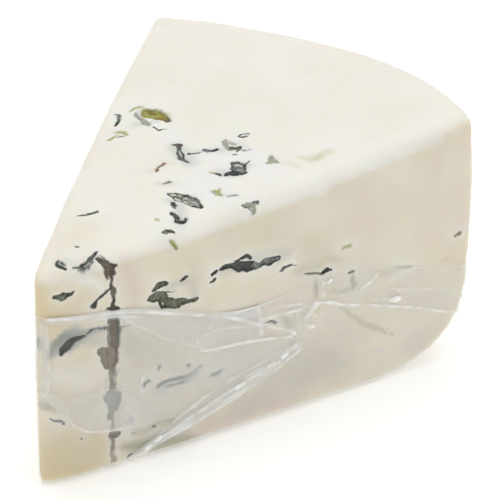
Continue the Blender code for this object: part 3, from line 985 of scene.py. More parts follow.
def front_colonies() -> tuple[Colony, ...]:
    """Lay out the mould that the front cut shows, from the tip to the side.

    Returns:
        The colonies.
    """
    slate = partial(Colony, tint=Tint.SLATE)
    ink = partial(Colony, tint=Tint.INK, crumbs=0.1)
    moss = partial(Colony, tint=Tint.MOSS, crumbs=0.25)
    bark = partial(Colony, tint=Tint.BARK, rim=0.6, crumbs=0.15, blur=0.2)
    brown = partial(Colony, tint=Tint.BARK, rim=0.25, crumbs=0.1, blur=0.4, pit=0.3)
    olive = partial(Colony, tint=Tint.OLIVE, rim=0.3, blur=0.3, pit=0.1)
    leaf = partial(Colony, tint=Tint.LEAF, rim=0.1, blur=0.4, pit=0.1)
    clay = partial(Colony, tint=Tint.CLAY, rim=0.35, crumbs=0.1, blur=0.35, pit=0.25)
    fawn = partial(Colony, tint=Tint.FAWN, rim=0.1, crumbs=0.0, blur=0.4, pit=0.15)
    veiled = partial(Colony, tint=Tint.INK, rim=0.8, crumbs=0.0, blur=0.25, pit=0.1)
    streak = partial(Colony, tint=Tint.INK, rim=0.2, crumbs=0.0, blur=0.3, over=True)
    cavity = partial(Colony, tint=Tint.INK, crumbs=0.0, pit=0.7, blur=0.2)
    return (
        # The laid-open needle's hole, from its brown cap down to the foot
        bark((
            (16.0, 47.9, 0.4), (16.9, 47.5, 0.8), (17.6, 46.9, 1.1), (18.4, 46.4, 1.2), (19.4, 46.4, 0.4),
        )),
        brown(((17.2, 46.6, 1.2), (17.4, 45.4, 1.4), (17.6, 44.2, 0.6))),
        bark(((18.4, 46.4, 1.4), (18.3, 45.2, 1.2), (18.1, 44.0, 0.6), (17.9, 42.6, 0.6))),
        bark((
            (17.9, 42.6, 0.6), (18.2, 41.1, 1.3), (18.4, 39.5, 0.7), (18.3, 38.2, 0.8), (18.2, 36.8, 1.3),
        )),
        bark(((17.0, 37.6, 0.5), (18.4, 37.3, 0.9), (19.2, 36.9, 0.5))),
        veiled(((17.7, 41.8, 0.5), (16.2, 41.3, 0.6), (14.7, 40.0, 0.7), (13.9, 39.2, 1.4))),
        brown(((18.3, 36.0, 1.9), (18.4, 33.9, 2.2), (18.4, 31.3, 2.5), (18.2, 28.6, 2.2))),
        bark(((19.2, 34.8, 0.4), (19.4, 31.6, 0.6), (18.9, 28.6, 0.5), (18.6, 25.4, 0.4))),
        bark(((17.2, 34.6, 0.3), (17.0, 31.6, 0.3), (16.8, 29.6, 0.4))),
        clay((
            (14.7, 28.8), (15.0, 26.4), (15.8, 24.6), (18.4, 23.4), (18.9, 28.2), (15.9, 29.3),
        ), patch=True),
        bark(((14.8, 28.7, 0.5), (15.1, 26.6, 0.4), (15.9, 24.7, 0.6), (17.4, 23.6, 0.4))),
        streak(((16.4, 28.6, 0.2), (16.6, 26.4, 0.4), (17.0, 24.4, 0.3)), tint=Tint.BARK),
        streak(((18.4, 28.4, 0.4), (18.5, 26.0, 0.3), (18.2, 24.0, 0.3)), tint=Tint.BARK),
        streak(((17.4, 36.2, 0.3), (17.3, 33.8, 0.4), (17.6, 31.6, 0.2))),
        streak(((19.0, 35.4, 0.4), (19.3, 32.4, 0.5), (19.0, 29.2, 0.4))),
        clay((
            (15.9, 18.8), (19.0, 17.6), (18.7, 15.3), (17.9, 12.9), (17.0, 12.1), (16.4, 12.4),
            (16.1, 14.6),
        ), patch=True),
        fawn(((17.6, 23.2, 1.6), (17.5, 21.0, 1.4), (17.5, 18.6, 1.8)), tint=Tint.CLAY),
        veiled(((15.5, 17.9, 0.5), (16.0, 16.0, 0.4), (16.4, 14.2, 0.4), (16.2, 12.7, 0.6))),
        veiled(((19.1, 17.5, 0.5), (18.9, 15.7, 0.7), (18.3, 13.5, 0.4))),
        bark(((16.7, 8.8, 0.9), (17.6, 8.1, 1.9), (18.4, 8.3, 1.0)), rim=1.0, crumbs=0.5),
        fawn(((17.3, 12.4, 1.0), (17.2, 9.8, 0.8), (17.0, 7.0, 1.0), (17.1, 4.3, 1.3)), tint=Tint.CLAY),
        fawn(((17.1, 4.3, 1.3), (17.3, 0.6, 1.6))),
        # The dark wedge and the cavity between the tip and the hole
        moss(((6.2, 42.6, 0.6), (7.8, 42.3, 1.5), (9.0, 42.7, 1.0), (10.2, 43.4, 0.3))),
        cavity((
            (7.2, 29.8, 0.8), (7.9, 30.8, 1.6), (8.8, 31.6, 1.8), (10.0, 32.2, 1.3), (11.9, 32.9, 0.5),
        )),
        veiled(((11.9, 32.7, 0.4), (13.1, 33.6, 0.4), (14.3, 33.9, 0.3), (16.8, 33.3, 0.3))),
        veiled(((19.4, 32.6, 0.4), (21.8, 32.1, 0.3))),
        veiled(((3.0, 34.4, 0.8), (3.1, 32.6, 1.5), (3.0, 31.0, 0.8)), rim=0.3, blur=0.7),
        # The olive fleck and the wide green pocket
        olive(((31.6, 47.9, 0.7), (32.0, 46.7, 0.9))),
        moss(((33.2, 39.2, 0.6), (34.1, 39.7, 0.9))),
        moss(((26.9, 38.5, 0.8), (28.1, 39.4, 1.6), (29.7, 39.6, 0.9))),
        moss(((25.8, 36.8, 1.0), (27.1, 37.0, 2.0), (28.6, 36.7, 2.1), (29.8, 35.8, 1.4))),
        moss((
            (30.2, 34.8, 1.5), (31.9, 34.0, 2.0), (33.9, 34.0, 1.3), (35.2, 33.8, 0.7), (36.3, 34.0, 0.8),
        )),
        moss(((30.6, 33.9, 1.1), (32.3, 33.2, 0.8))),
        moss(((28.1, 35.8, 0.8), (29.1, 34.3, 0.8), (30.2, 33.6, 0.5))),
        moss(((29.6, 37.1, 0.3), (32.0, 36.9, 0.3))),
        # The long blue-black growth with its arms and beads
        ink((
            (41.8, 39.0, 0.9), (43.4, 39.3, 1.3), (45.2, 38.8, 1.9), (47.0, 38.1, 2.6), (48.8, 37.6, 2.0),
        )),
        slate(((48.4, 37.7, 1.8), (50.6, 37.2, 1.2), (52.8, 37.4, 1.6), (55.2, 37.6, 1.1))),
        ink(((44.4, 39.4, 0.6), (46.6, 40.2, 0.7), (48.2, 40.1, 0.8), (48.7, 39.2, 0.5))),
        ink(((40.0, 38.4, 0.9), (40.8, 38.9, 1.0))),
        moss(((39.5, 36.8, 0.7), (40.4, 37.1, 0.9))),
        slate(((55.7, 34.6, 1.0), (56.9, 35.2, 0.7), (59.1, 34.8, 0.3))),
        moss(((61.2, 32.1, 0.3), (62.9, 31.6, 0.5), (65.1, 31.0, 0.5)), rim=0.5, blur=0.25),
        ink(((65.2, 31.2, 0.5), (66.3, 31.4, 0.9), (67.5, 31.3, 0.7))),
        moss(((71.6, 29.1, 0.7), (72.2, 29.1, 0.8), (73.0, 29.0, 0.4))),
        leaf(((70.2, 35.2, 0.7), (72.0, 35.4, 0.9))),
        leaf(((83.4, 26.5, 0.4), (85.5, 25.9, 0.9), (87.4, 25.7, 0.3))),
        leaf(((98.4, 29.3, 0.6), (99.8, 29.8, 0.8)), tint=Tint.RUSSET),
        # What shows through the film
        moss(((52.2, 23.5, 0.3), (53.6, 23.4, 0.7), (54.6, 22.8, 0.5)), rim=0.8, blur=0.3),
        veiled(((27.8, 20.8, 0.6), (27.9, 20.3, 0.5))),
        veiled(((34.0, 19.3, 0.6), (34.4, 19.3, 0.6))),
        veiled(((24.1, 17.6, 0.8), (25.0, 18.2, 1.0), (25.9, 18.2, 0.4))),
        veiled((
            (27.4, 16.5, 0.7), (28.9, 16.9, 0.8), (31.2, 16.8, 0.9), (34.9, 16.3, 0.7), (36.8, 16.9, 0.3),
        )),
        veiled(((32.6, 16.9, 0.4), (34.6, 17.2, 0.5), (37.4, 17.9, 0.3))),
        veiled(((29.1, 15.8, 0.5), (31.5, 15.5, 0.5), (34.0, 15.6, 0.4))),
        veiled(((39.5, 15.0, 0.5), (40.9, 15.3, 0.9), (42.2, 15.9, 0.4))),
        veiled(((4.4, 15.7, 0.3), (5.7, 15.0, 0.5), (6.8, 14.1, 0.7)), tint=Tint.SLATE, rim=0.2),
        veiled(((19.9, 10.4, 0.3), (20.5, 11.0, 0.3), (20.6, 10.0, 0.3))),
        veiled(((21.1, 11.1, 0.3), (21.7, 10.3, 0.3), (21.2, 9.6, 0.3))),
        veiled(((26.2, 7.4, 0.7), (26.5, 7.2, 0.6))),
        veiled(((21.4, 7.1, 0.4), (21.7, 7.1, 0.3))),
        veiled(((10.4, 9.5, 0.3), (10.6, 9.5, 0.3))),
        bark(((20.5, 1.9, 0.7), (21.0, 2.2, 0.6))),
    )


def back_colonies(seed: int, count: int) -> tuple[Colony, ...]:
    """Grow mould of the same kinds on the back cut, which no photograph shows.

    Args:
        seed: What the random draws start from.
        count: How many growths there are.

    Returns:
        The colonies.
    """
    draw = random.Random(seed)
    tints = (Tint.SLATE, Tint.SLATE, Tint.INK, Tint.MOSS, Tint.MOSS, Tint.OLIVE, Tint.SAGE)
    colonies = []
    for _ in range(count):
        u = 8.0 + 88.0 * draw.random() ** 1.3
        z = draw.uniform(6.0, 42.0 + 0.07 * u)
        heading = draw.gauss(0.1, 0.45)
        length = draw.uniform(0.8, 3.2)
        width = draw.uniform(0.5, 2.2)
        path = []
        for step in range(draw.randint(2, 5)):
            path.append((u, z, width * (1.0 - 0.2 * step)))
            heading += draw.gauss(0.0, 0.5)
            u += length * math.cos(heading)
            z += length * math.sin(heading)
        tint = draw.choice(tints)
        rim = 0.2 if tint in (Tint.OLIVE, Tint.SAGE) else 1.0
        colonies.append(Colony(face=Face.BACK, path=tuple(path), tint=tint, rim=rim))
    hole = tuple((31.0 + 0.3 * math.sin(z), z, 1.2 + 0.5 * math.sin(2.3 * z)) for z in range(4, 48, 3))
    colonies.append(Colony(face=Face.BACK, path=hole, tint=Tint.BARK, rim=0.5, blur=0.25))
    return tuple(colonies)


def stains() -> tuple[Stain, ...]:
    """Lay out the soft patches of colour round the mould, and the painted shadows that the film's folds
    cast on the curd.

    Returns:
        The stains.
    """
    smoke = partial(Stain, tint=Tint.SMOKE, strength=0.55, blur=1.1)
    reed = partial(Stain, tint=Tint.REED, strength=0.4, blur=1.4)
    thread_and_shadow = partial(Stain, tint=Tint.DUN, strength=0.6, blur=0.35)
    shade = partial(Stain, tint=Tint.MOSS, strength=0.5, blur=0.35)
    rose = partial(Stain, tint=Tint.ROSE, strength=0.5, blur=2.2)
    wash = partial(Stain, tint=Tint.REED, strength=0.15, blur=4.0)
    dun = partial(Stain, tint=Tint.DUN, strength=0.7, blur=1.2)
    straw = partial(Stain, tint=Tint.STRAW, strength=0.55, blur=1.8)
    top_straw = partial(straw, face=Face.TOP)
    top_rose = partial(rose, face=Face.TOP)
    top_smoke = partial(smoke, face=Face.TOP)
    top_thread = partial(thread_and_shadow, face=Face.TOP)
    return (
        # The yellow foot and edge of the tip, partly ripe and partly a painted glow of light through the
        # thin tip, and the dun foot beside the hole
        straw((
            (2.0, 0.5), (2.6, 10.0), (8.0, 11.4), (15.0, 9.4), (16.2, 5.0), (15.4, 0.5),
        ), strength=0.42, patch=True),
        straw(((3.2, 44.6, 2.0), (3.4, 38.4, 5.0), (7.6, 38.0, 3.0)), strength=0.28, blur=2.4),
        dun(((22.6, 7.2, 1.4), (26.7, 7.4, 2.4), (29.9, 8.1, 1.0))),
        dun(((20.4, 4.4, 1.8), (27.1, 2.4, 3.8), (36.0, 1.4, 2.2)), strength=1.0),
        rose(((37.0, 3.0, 4.0), (50.0, 4.0, 5.0), (60.0, 2.6, 3.0)), strength=0.6),
        smoke(((46.0, 4.0, 3.0), (60.0, 10.0, 8.0), (70.0, 8.0, 6.0)), strength=0.22, blur=3.5),
        # Round the cavity, the hole and the growths
        smoke((
            (4.8, 30.6), (6.0, 32.6), (8.0, 34.9), (10.4, 35.4), (12.7, 34.9), (16.6, 33.9), (16.6, 32.6),
            (13.3, 32.6), (11.9, 32.0), (9.7, 30.6), (7.6, 29.4), (5.6, 29.2),
        ), strength=0.85, blur=0.7, patch=True),
        shade(((5.0, 30.2, 0.6), (6.2, 32.6, 0.8), (8.2, 34.6, 0.5)), tint=Tint.SLATE, blur=0.9),
        shade(((6.8, 31.6, 1.2), (8.2, 33.2, 1.8), (11.4, 33.6, 1.2)), tint=Tint.SLATE, blur=0.9),
        smoke(((12.0, 31.6, 2.0), (16.0, 30.6, 3.0)), strength=0.4),
        smoke(((3.4, 19.0, 1.2), (4.3, 18.8, 1.4), (5.4, 17.6, 0.8)), strength=0.7, blur=0.6),
        shade(((16.4, 24.0, 0.2), (16.3, 21.4, 0.2), (16.3, 19.0, 0.2)), tint=Tint.SLATE, blur=0.25),
        shade(((18.7, 23.0, 0.2), (18.7, 20.4, 0.2), (18.8, 18.0, 0.2)), tint=Tint.SLATE, blur=0.25),
        smoke(((42.0, 38.2, 2.0), (50.0, 39.6, 3.0), (57.0, 38.0, 2.0)), strength=0.3),
        smoke(((30.0, 38.2, 2.0), (34.5, 38.4, 2.6), (36.0, 35.6, 2.4)), strength=0.3),
        smoke(((28.0, 15.6, 2.0), (36.0, 15.8, 1.6)), strength=0.4),
        reed(((19.9, 33.0, 1.4), (21.1, 30.1, 2.2), (21.6, 26.8, 1.8))),
        reed(((22.0, 29.0, 3.0), (26.0, 25.0, 4.0), (33.0, 19.0, 3.0)), strength=0.25, blur=3.0),
        reed(((60.2, 33.2, 2.4), (68.4, 33.0, 2.4))),
        wash(((31.2, 47.6, 3.0), (33.6, 43.0, 3.4), (36.0, 39.0, 3.0))),
        wash(((44.0, 47.0, 5.0), (56.0, 43.0, 7.0), (66.0, 37.0, 4.0))),
        # Painted shadows that the film's folds cast on the curd, as grey green shades and a long diagonal
        # streak, and grey green threads beside them
        shade(((64.0, 30.6, 0.7), (64.0, 28.4, 0.9), (64.0, 26.2, 0.7))),
        shade(((72.8, 28.4, 0.4), (73.1, 26.6, 0.9), (73.4, 25.4, 0.9))),
        shade(((66.3, 26.6, 0.3), (69.2, 25.8, 0.6), (73.2, 25.0, 0.5)), strength=0.35),
        shade(((56.1, 23.2, 0.8), (57.2, 22.1, 1.2), (57.6, 21.2, 0.8)), strength=0.4, blur=0.6),
        # Painted shadow: the long diagonal streak is the shadow of a fold of the film.
        thread_and_shadow((
            (69.4, 21.7, 0.2), (71.3, 19.5, 0.9), (74.1, 17.0, 0.7), (76.9, 14.7, 0.9), (80.3, 12.2, 0.7),
            (84.3, 9.8, 0.1),
        )),
        thread_and_shadow(((95.4, 24.6, 0.4), (97.5, 24.3, 0.6), (98.8, 24.1, 0.5)), strength=0.4),
        thread_and_shadow(((80.0, 26.4, 0.8), (84.0, 26.4, 1.2)), strength=0.3),
        rose(((20.8, 45.0, 3.0), (23.0, 40.2, 4.0), (22.2, 36.8, 2.0))),
        rose(((68.6, 15.6, 4.0), (72.0, 13.6, 3.0))),
        rose(((74.0, 38.0, 6.0), (86.0, 40.0, 6.0)), strength=0.2),
        rose(((88.0, 6.4, 4.0), (95.0, 8.0, 4.0))),
        # The yellow bloom round the lens, and the pale tracks towards the side
        top_straw(((-20.0, 62.4, 1.6), (-13.6, 62.2, 2.2)), tint=Tint.LEAF, strength=0.55, blur=1.1),
        top_straw(((0.0, 9.0, 6.0), (-3.0, 22.0, 8.0)), strength=0.16, blur=4.0),
        top_rose(((-3.8, 44.3, 1.6), (-3.0, 47.8, 2.0))),
        top_smoke(((-5.4, 54.4, 2.4), (-2.4, 52.2, 3.0), (1.0, 50.6, 2.0)), strength=0.4, blur=1.4),
        top_smoke(((0.0, 54.2, 2.0), (3.2, 57.0, 2.4), (6.0, 59.6, 3.4)), strength=0.3, blur=1.6),
        top_smoke(((8.6, 50.6, 2.4), (10.6, 51.8, 3.0), (11.4, 54.6, 3.4)), strength=0.4, blur=1.5),
        top_smoke(((6.6, 37.8, 2.0), (9.6, 36.0, 3.0), (11.2, 33.4, 2.6)), strength=0.4, blur=1.5),
        top_smoke(((0.0, 10.6, 2.0), (3.6, 12.4, 2.4), (4.4, 15.6, 2.0)), strength=0.2, blur=1.2),
        top_smoke(((1.0, 41.5, 1.0), (2.0, 42.8, 0.8)), strength=0.35),
        top_smoke(((14.9, 44.9, 0.6), (15.9, 46.1, 0.6)), strength=0.3),
        top_thread(((19.7, 62.9, 1.2), (22.4, 64.8, 2.0)), tint=Tint.LEAF, strength=0.35, blur=0.8),
        top_thread(((22.4, 64.8, 1.8), (23.4, 67.6, 1.4)), tint=Tint.LEAF, strength=0.3, blur=0.8),
        top_thread(((17.1, 59.2, 0.8), (20.5, 60.5, 0.8)), strength=0.2, blur=0.8),
        top_smoke(((-13.5, 61.1, 1.0), (-17.5, 57.1, 2.4)), strength=0.3),
    )


def bleached_and_highlit_places() -> tuple[BleachAndHighlight, ...]:
    """Lay out where mould has bleached the curd, mostly between the growths on the top, and the painted
    highlight along the rounded shoulder between the top and the front cut.

    Returns:
        The bleached places.
    """
    strong = partial(BleachAndHighlight, strength=0.9, blur=1.8)
    faint = partial(BleachAndHighlight, strength=0.5, blur=2.4)
    top_strong = partial(strong, face=Face.TOP)
    top_faint = partial(faint, face=Face.TOP)
    return (
        top_strong(((-21.5, 56.6, 3.0), (-11.5, 57.5, 4.0), (-1.6, 53.5, 8.0), (10.5, 56.3, 9.0))),
        top_strong(((10.5, 56.3, 9.0), (20.4, 55.2, 8.0), (32.5, 62.9, 4.0))),
        top_strong(((8.4, 49.4, 10.0), (9.3, 41.6, 12.0), (12.2, 33.7, 10.0), (11.2, 26.9, 4.0))),
        top_strong(((14.4, 46.4, 8.0), (20.3, 43.4, 5.0))),
        # Painted highlight: a white band along the top's rounded edge over the front cut.
        top_strong(((11.2, 26.3, 2.0), (18.9, 41.9, 3.0), (26.5, 58.5, 2.6), (37.7, 85.0, 2.4))),
        top_faint(((-3.6, 51.5, 4.0), (-2.6, 43.7, 3.0))),
        top_strong(((-1.2, 12.3, 1.6), (1.4, 11.3, 2.0), (3.6, 9.9, 2.0), (5.6, 12.8, 1.6))),
        strong(((10.8, 46.1, 1.6), (14.7, 43.7, 2.6), (15.5, 40.7, 1.6))),
        strong(((4.2, 46.6, 1.4), (8.2, 45.1, 1.4))),
        faint(((6.0, 25.0, 5.0), (11.5, 23.0, 6.0))),
        faint(((33.5, 38.5, 3.0), (36.3, 36.9, 2.6))),
        faint(((42.9, 40.8, 2.0), (51.8, 39.5, 3.4), (57.7, 36.7, 2.0))),
        faint(((45.8, 35.8, 2.0), (53.7, 35.7, 2.0))),
        # Painted highlight: a white band along the front cut just under its rounded top edge.
        faint(((24.1, 49.9, 2.4), (59.9, 53.5, 2.4), (97.7, 55.0, 2.4))),
    )


def front_panes() -> tuple[Pane, ...]:
    """Lay out the milky and doubled patches of the film over the front cut.

    Returns:
        The panes.
    """
    return (
        # The hem, which widens to a doubled band and ends in a bright strip
        Pane((
            (5.0, 38.4), (11.8, 37.5), (19.1, 36.6), (28.8, 33.6), (38.0, 30.1), (43.6, 28.7),
            (49.9, 28.9), (50.6, 26.0), (50.9, 20.8), (43.5, 20.9), (38.3, 21.4), (34.0, 24.3),
            (28.7, 27.5), (23.1, 32.0), (19.1, 35.0), (11.8, 36.2), (5.0, 36.9),
        ), haze=0.42, blur=0.45, lift=0.04, patch=True),
        Pane((
            (39.0, 29.4), (44.4, 28.7), (49.9, 28.8), (50.3, 26.2), (46.1, 26.4), (41.5, 27.6),
        ), haze=0.35, blur=0.6, patch=True),
        Pane(((50.2, 28.4, 1.4), (50.5, 26.0, 1.6), (50.8, 21.4, 1.4)), haze=0.35, blur=0.6),
        # The grey sheet between the needle's hole, the doubled band and the flap
        Pane((
            (19.5, 34.4), (23.1, 31.4), (28.7, 27.2), (34.0, 24.1), (38.0, 21.0), (44.0, 20.6),
            (52.0, 20.0), (57.8, 18.4), (56.0, 15.3), (49.1, 14.0), (43.4, 12.8), (37.8, 10.8),
            (32.2, 8.3), (28.5, 8.7), (25.4, 9.1), (21.1, 9.4), (19.2, 9.8),
        ), haze=0.3, blur=0.6, patch=True),
        Pane(((37.0, 17.6, 4.0), (45.0, 17.6, 5.0), (51.0, 16.8, 3.0)), haze=0.16, blur=1.6),
        Pane(((21.4, 14.6, 3.0), (26.0, 12.8, 5.0), (31.0, 11.4, 3.0)), haze=0.2, blur=1.4),
        # Pale places by the hole and inside the round fold
        Pane((
            (4.2, 27.2), (8.7, 26.8), (16.1, 24.4), (16.0, 20.2), (9.5, 21.6), (3.9, 22.2),
        ), haze=0.08, blur=0.8, patch=True),
        Pane((
            (7.8, 19.6), (11.0, 20.4), (18.0, 19.4), (22.0, 15.0), (21.6, 9.6), (14.3, 10.7),
            (11.0, 12.2), (8.8, 15.0),
        ), haze=0.3, blur=0.7, patch=True),
        Pane((
            (3.8, 21.3, 1.6), (5.4, 19.9, 2.6), (6.7, 17.8, 2.3), (7.6, 15.7, 1.5), (8.6, 13.7, 1.0),
            (10.0, 12.1, 0.7), (11.4, 11.3, 0.5), (14.3, 10.4, 0.5), (18.4, 9.4, 0.5), (21.1, 9.1, 0.5),
            (23.6, 8.7, 0.5), (26.2, 8.9, 0.5), (28.5, 8.9, 0.4), (30.6, 8.5, 0.3),
        ), haze=0.42, blur=0.55, lift=0.16),
        # The flap that comes up from the foot, doubled and streaked along its length
        Pane((
            (19.9, 1.4), (24.0, 3.8), (29.2, 6.6), (32.2, 8.3), (37.8, 11.0), (43.4, 13.0), (49.1, 14.2),
            (54.8, 15.3), (58.7, 16.8), (60.0, 14.8), (54.9, 12.1), (49.1, 9.8), (43.4, 7.7), (37.7, 6.0),
            (32.5, 4.8), (26.5, 3.0), (22.6, 1.2),
        ), haze=0.4, lift=0.12, streaks=0.8, blur=0.5, patch=True),
        Pane((
            (21.8, 1.6, 0.7), (26.0, 3.5, 1.0), (31.0, 5.4, 1.5), (37.7, 7.4, 2.0), (43.4, 9.2, 2.2),
            (49.1, 11.2, 2.0), (54.9, 13.2, 1.4),
        ), haze=0.35, blur=0.7, streaks=0.4),
        Pane((
            (49.1, 9.4), (54.9, 12.1), (60.0, 14.6), (66.0, 13.0), (70.0, 9.0), (70.0, 4.4), (66.8, 3.4),
            (61.9, 4.1), (56.6, 6.8),
        ), haze=0.06, blur=2.0, patch=True),
        # The gathered column and the drawn part right of the band
        Pane(((59.4, 24.4, 1.6), (59.2, 20.0, 2.0), (59.4, 15.6, 2.2)), haze=0.3, blur=0.6),
        Pane(((59.6, 16.0, 3.0), (60.4, 11.0, 4.0), (61.2, 7.4, 3.6)), haze=0.05, blur=1.8),
        Pane(((63.6, 24.0, 1.2), (62.0, 22.2, 2.0), (60.6, 20.6, 2.0)), haze=0.3, blur=0.6),
        Pane(((64.8, 22.2, 2.0), (66.0, 18.4, 3.0), (64.0, 14.6, 3.0)), haze=0.04, blur=1.8),
        Pane((
            (51.2, 28.4), (58.0, 29.6), (63.2, 30.2), (72.0, 29.8), (79.0, 28.2), (89.6, 25.0),
            (102.0, 21.6), (102.0, 9.8), (95.1, 12.3), (87.0, 16.0), (80.7, 18.4), (75.1, 20.5),
            (70.2, 22.2), (64.0, 24.2), (51.2, 25.0),
        ), haze=0.08, blur=0.8, patch=True),
        Pane(((76.0, 21.6, 2.0), (84.0, 19.0, 3.0), (95.0, 15.0, 3.0)), haze=0.03, blur=1.6),
        # Where it clings tight over the cavity and the needle's hole, and stays clear
        Pane((
            (4.9, 37.2), (12.0, 36.8), (19.6, 35.8), (19.6, 30.0), (19.0, 24.2), (15.6, 24.2),
            (14.4, 28.2), (9.0, 28.0), (4.9, 28.4),
        ), haze=-0.1, blur=0.4, patch=True),
        # The strip round the tip
        Pane((
            (4.0, 37.4, 0.8), (4.1, 34.6, 1.1), (4.0, 31.1, 1.3), (3.8, 26.5, 1.3), (3.6, 21.6, 1.1),
        ), haze=0.48, blur=0.6, lift=0.05),
    )


def front_creases() -> tuple[Crease, ...]:
    """Lay out the lines along which the film over the front cut is stretched, with the painted highlights
    and glints along them.

    Returns:
        The creases.
    """
    # Painted highlights: how white each line is painted stands in for the light its ridge catches.
    bright = partial(Crease, painted_shine=0.55)
    plain = partial(Crease, painted_shine=0.38, lift=0.07)
    soft = partial(Crease, painted_shine=0.26, lift=0.05)
    faint = partial(Crease, painted_shine=0.16, lift=0.03)
    glint = partial(Crease, painted_shine=0.9)
    return (
        # Along the hem and the doubled band
        plain((
            (5.0, 38.1, 0.4), (11.8, 37.3, 0.6), (15.0, 37.0, 0.6), (19.1, 36.4, 0.7), (23.2, 35.3, 0.5),
        )),
        plain(((23.2, 35.3, 0.5), (28.8, 33.3, 0.4), (33.7, 31.4, 0.3), (38.0, 29.9, 0.3))),
        soft(((38.0, 29.9, 0.3), (43.6, 28.5, 0.4), (48.6, 28.2, 0.3))),
        soft(((13.6, 36.2, 0.2), (18.4, 35.6, 0.3), (24.0, 33.8, 0.2))),
        faint((
            (19.1, 35.3, 0.3), (23.1, 32.0, 0.3), (28.7, 27.5, 0.3), (34.0, 24.3, 0.3), (36.9, 22.4, 0.3),
        )),
        soft(((41.9, 28.4, 0.3), (46.1, 26.3, 0.4), (50.2, 23.8, 0.4))),
        faint(((36.5, 23.3, 0.3), (36.4, 25.0, 0.3), (42.4, 25.4, 0.3), (49.1, 23.8, 0.2))),
        plain((
            (36.9, 22.4, 0.3), (38.3, 21.7, 0.4), (43.5, 21.0, 0.4), (48.8, 20.5, 0.4), (57.8, 18.7, 0.4),
        )),
        faint(((50.0, 28.6, 0.3), (50.6, 25.6, 0.4), (50.8, 21.4, 0.3))),
        # The ridges that are drawn from the band to the side
        faint(((51.2, 28.0, 0.2), (55.2, 28.6, 0.3), (60.6, 29.6, 0.3), (64.0, 30.2, 0.2))),
        soft(((52.7, 26.9, 0.3), (57.8, 26.1, 0.3), (62.9, 24.9, 0.5))),
        bright((
            (62.9, 24.9, 0.3), (67.6, 23.5, 0.4), (70.2, 22.2, 0.3), (75.1, 20.5, 0.3), (80.7, 18.4, 0.3),
        )),
        plain((
            (80.7, 18.4, 0.3), (87.0, 16.0, 0.3), (91.3, 14.1, 0.3), (95.1, 12.3, 0.3), (102.0, 9.8, 0.2),
        )),
        plain(((51.3, 24.9, 0.3), (56.7, 24.5, 0.3), (64.1, 24.1, 0.3))),
        plain(((51.6, 23.3, 0.3), (54.4, 21.8, 0.4), (57.3, 20.1, 0.4), (58.7, 19.0, 0.4))),
        soft(((64.1, 24.0, 0.5), (62.4, 23.0, 0.8), (61.0, 21.7, 0.8))),
        soft(((63.3, 21.8, 0.4), (63.6, 19.4, 0.4))),
        faint(((81.7, 22.4, 0.3), (90.0, 19.6, 0.3), (101.0, 15.6, 0.3))),
        faint(((78.9, 27.4, 0.2), (83.8, 26.3, 0.3), (89.6, 24.6, 0.3), (101.2, 21.6, 0.4))),
        # Along the flap, the round fold and the strip at the tip
        soft(((20.4, 2.0, 0.2), (24.0, 3.8, 0.3), (29.2, 6.6, 0.3), (32.2, 8.3, 0.3), (37.8, 11.0, 0.3))),
        faint(((37.8, 11.0, 0.3), (43.4, 13.0, 0.3), (49.1, 14.2, 0.3), (58.7, 16.8, 0.3))),
        plain(((22.9, 1.6, 0.3), (29.9, 4.0, 0.4), (37.7, 6.1, 0.4), (43.4, 7.8, 0.3))),
        soft(((43.4, 7.8, 0.3), (49.1, 9.8, 0.3), (54.9, 12.1, 0.3), (59.4, 14.6, 0.3))),
        soft((
            (24.0, 3.0, 0.3), (30.3, 5.4, 0.4), (34.4, 7.1, 0.4), (43.4, 10.4, 0.4), (54.9, 13.6, 0.3),
        )),
        soft(((8.6, 13.5, 0.3), (11.4, 11.2, 0.3), (14.3, 10.3, 0.3), (18.4, 9.4, 0.3))),
        faint(((4.6, 36.6, 0.2), (4.7, 31.2, 0.3), (4.5, 26.8, 0.3), (4.2, 22.4, 0.2))),
        soft(((23.8, 19.8, 0.2), (23.6, 18.4, 0.3), (23.5, 16.4, 0.2))),
        faint(((77.9, 8.6, 0.3), (80.8, 7.6, 0.3))),
        faint(((82.3, 6.4, 0.3), (85.4, 6.3, 0.3))),
        # Painted glints: white dabs where the film bridges small hollows
        bright(((74.6, 24.5, 0.4), (75.9, 25.2, 0.9), (76.9, 25.8, 0.9), (78.3, 26.6, 0.6)), lift=0.08),
        soft((
            (81.7, 24.2, 0.3), (83.9, 24.5, 0.4), (86.1, 25.1, 0.4), (88.0, 25.3, 0.4), (89.6, 25.0, 0.3),
        )),
        bright(((81.8, 19.6, 0.4), (83.4, 19.2, 1.2), (84.2, 19.0, 0.7)), lift=0.08),
        soft(((77.6, 20.9, 0.4), (80.0, 20.2, 0.7), (82.6, 19.6, 0.6))),
        bright(((83.6, 21.2, 0.2), (85.8, 20.8, 0.3))),
        bright(((65.4, 28.9, 0.5), (65.4, 27.4, 0.8), (65.4, 26.0, 0.5)), lift=0.08),
        glint(((66.5, 28.6, 0.5), (67.3, 28.9, 0.4))),
        glint(((61.5, 19.9, 0.5), (62.8, 19.4, 0.7))),
        bright(((64.7, 21.7, 0.4), (65.4, 21.5, 0.5))),
        glint(((26.2, 4.1, 0.4), (27.4, 4.6, 0.4))),
        glint(((24.2, 3.0, 0.4), (25.4, 3.4, 0.3))),
        bright(((33.2, 6.9, 0.3), (34.8, 7.4, 0.3))),
        bright(((36.0, 7.6, 0.4), (37.8, 8.3, 0.3))),
        bright(((45.0, 10.5, 0.4), (46.8, 11.1, 0.3))),
        glint(((52.4, 13.2, 0.3), (53.6, 13.6, 0.4))),
        glint(((55.8, 14.4, 0.4), (56.8, 14.8, 0.3))),
        soft(((38.6, 26.6, 0.2), (39.2, 26.7, 0.2))),
    )


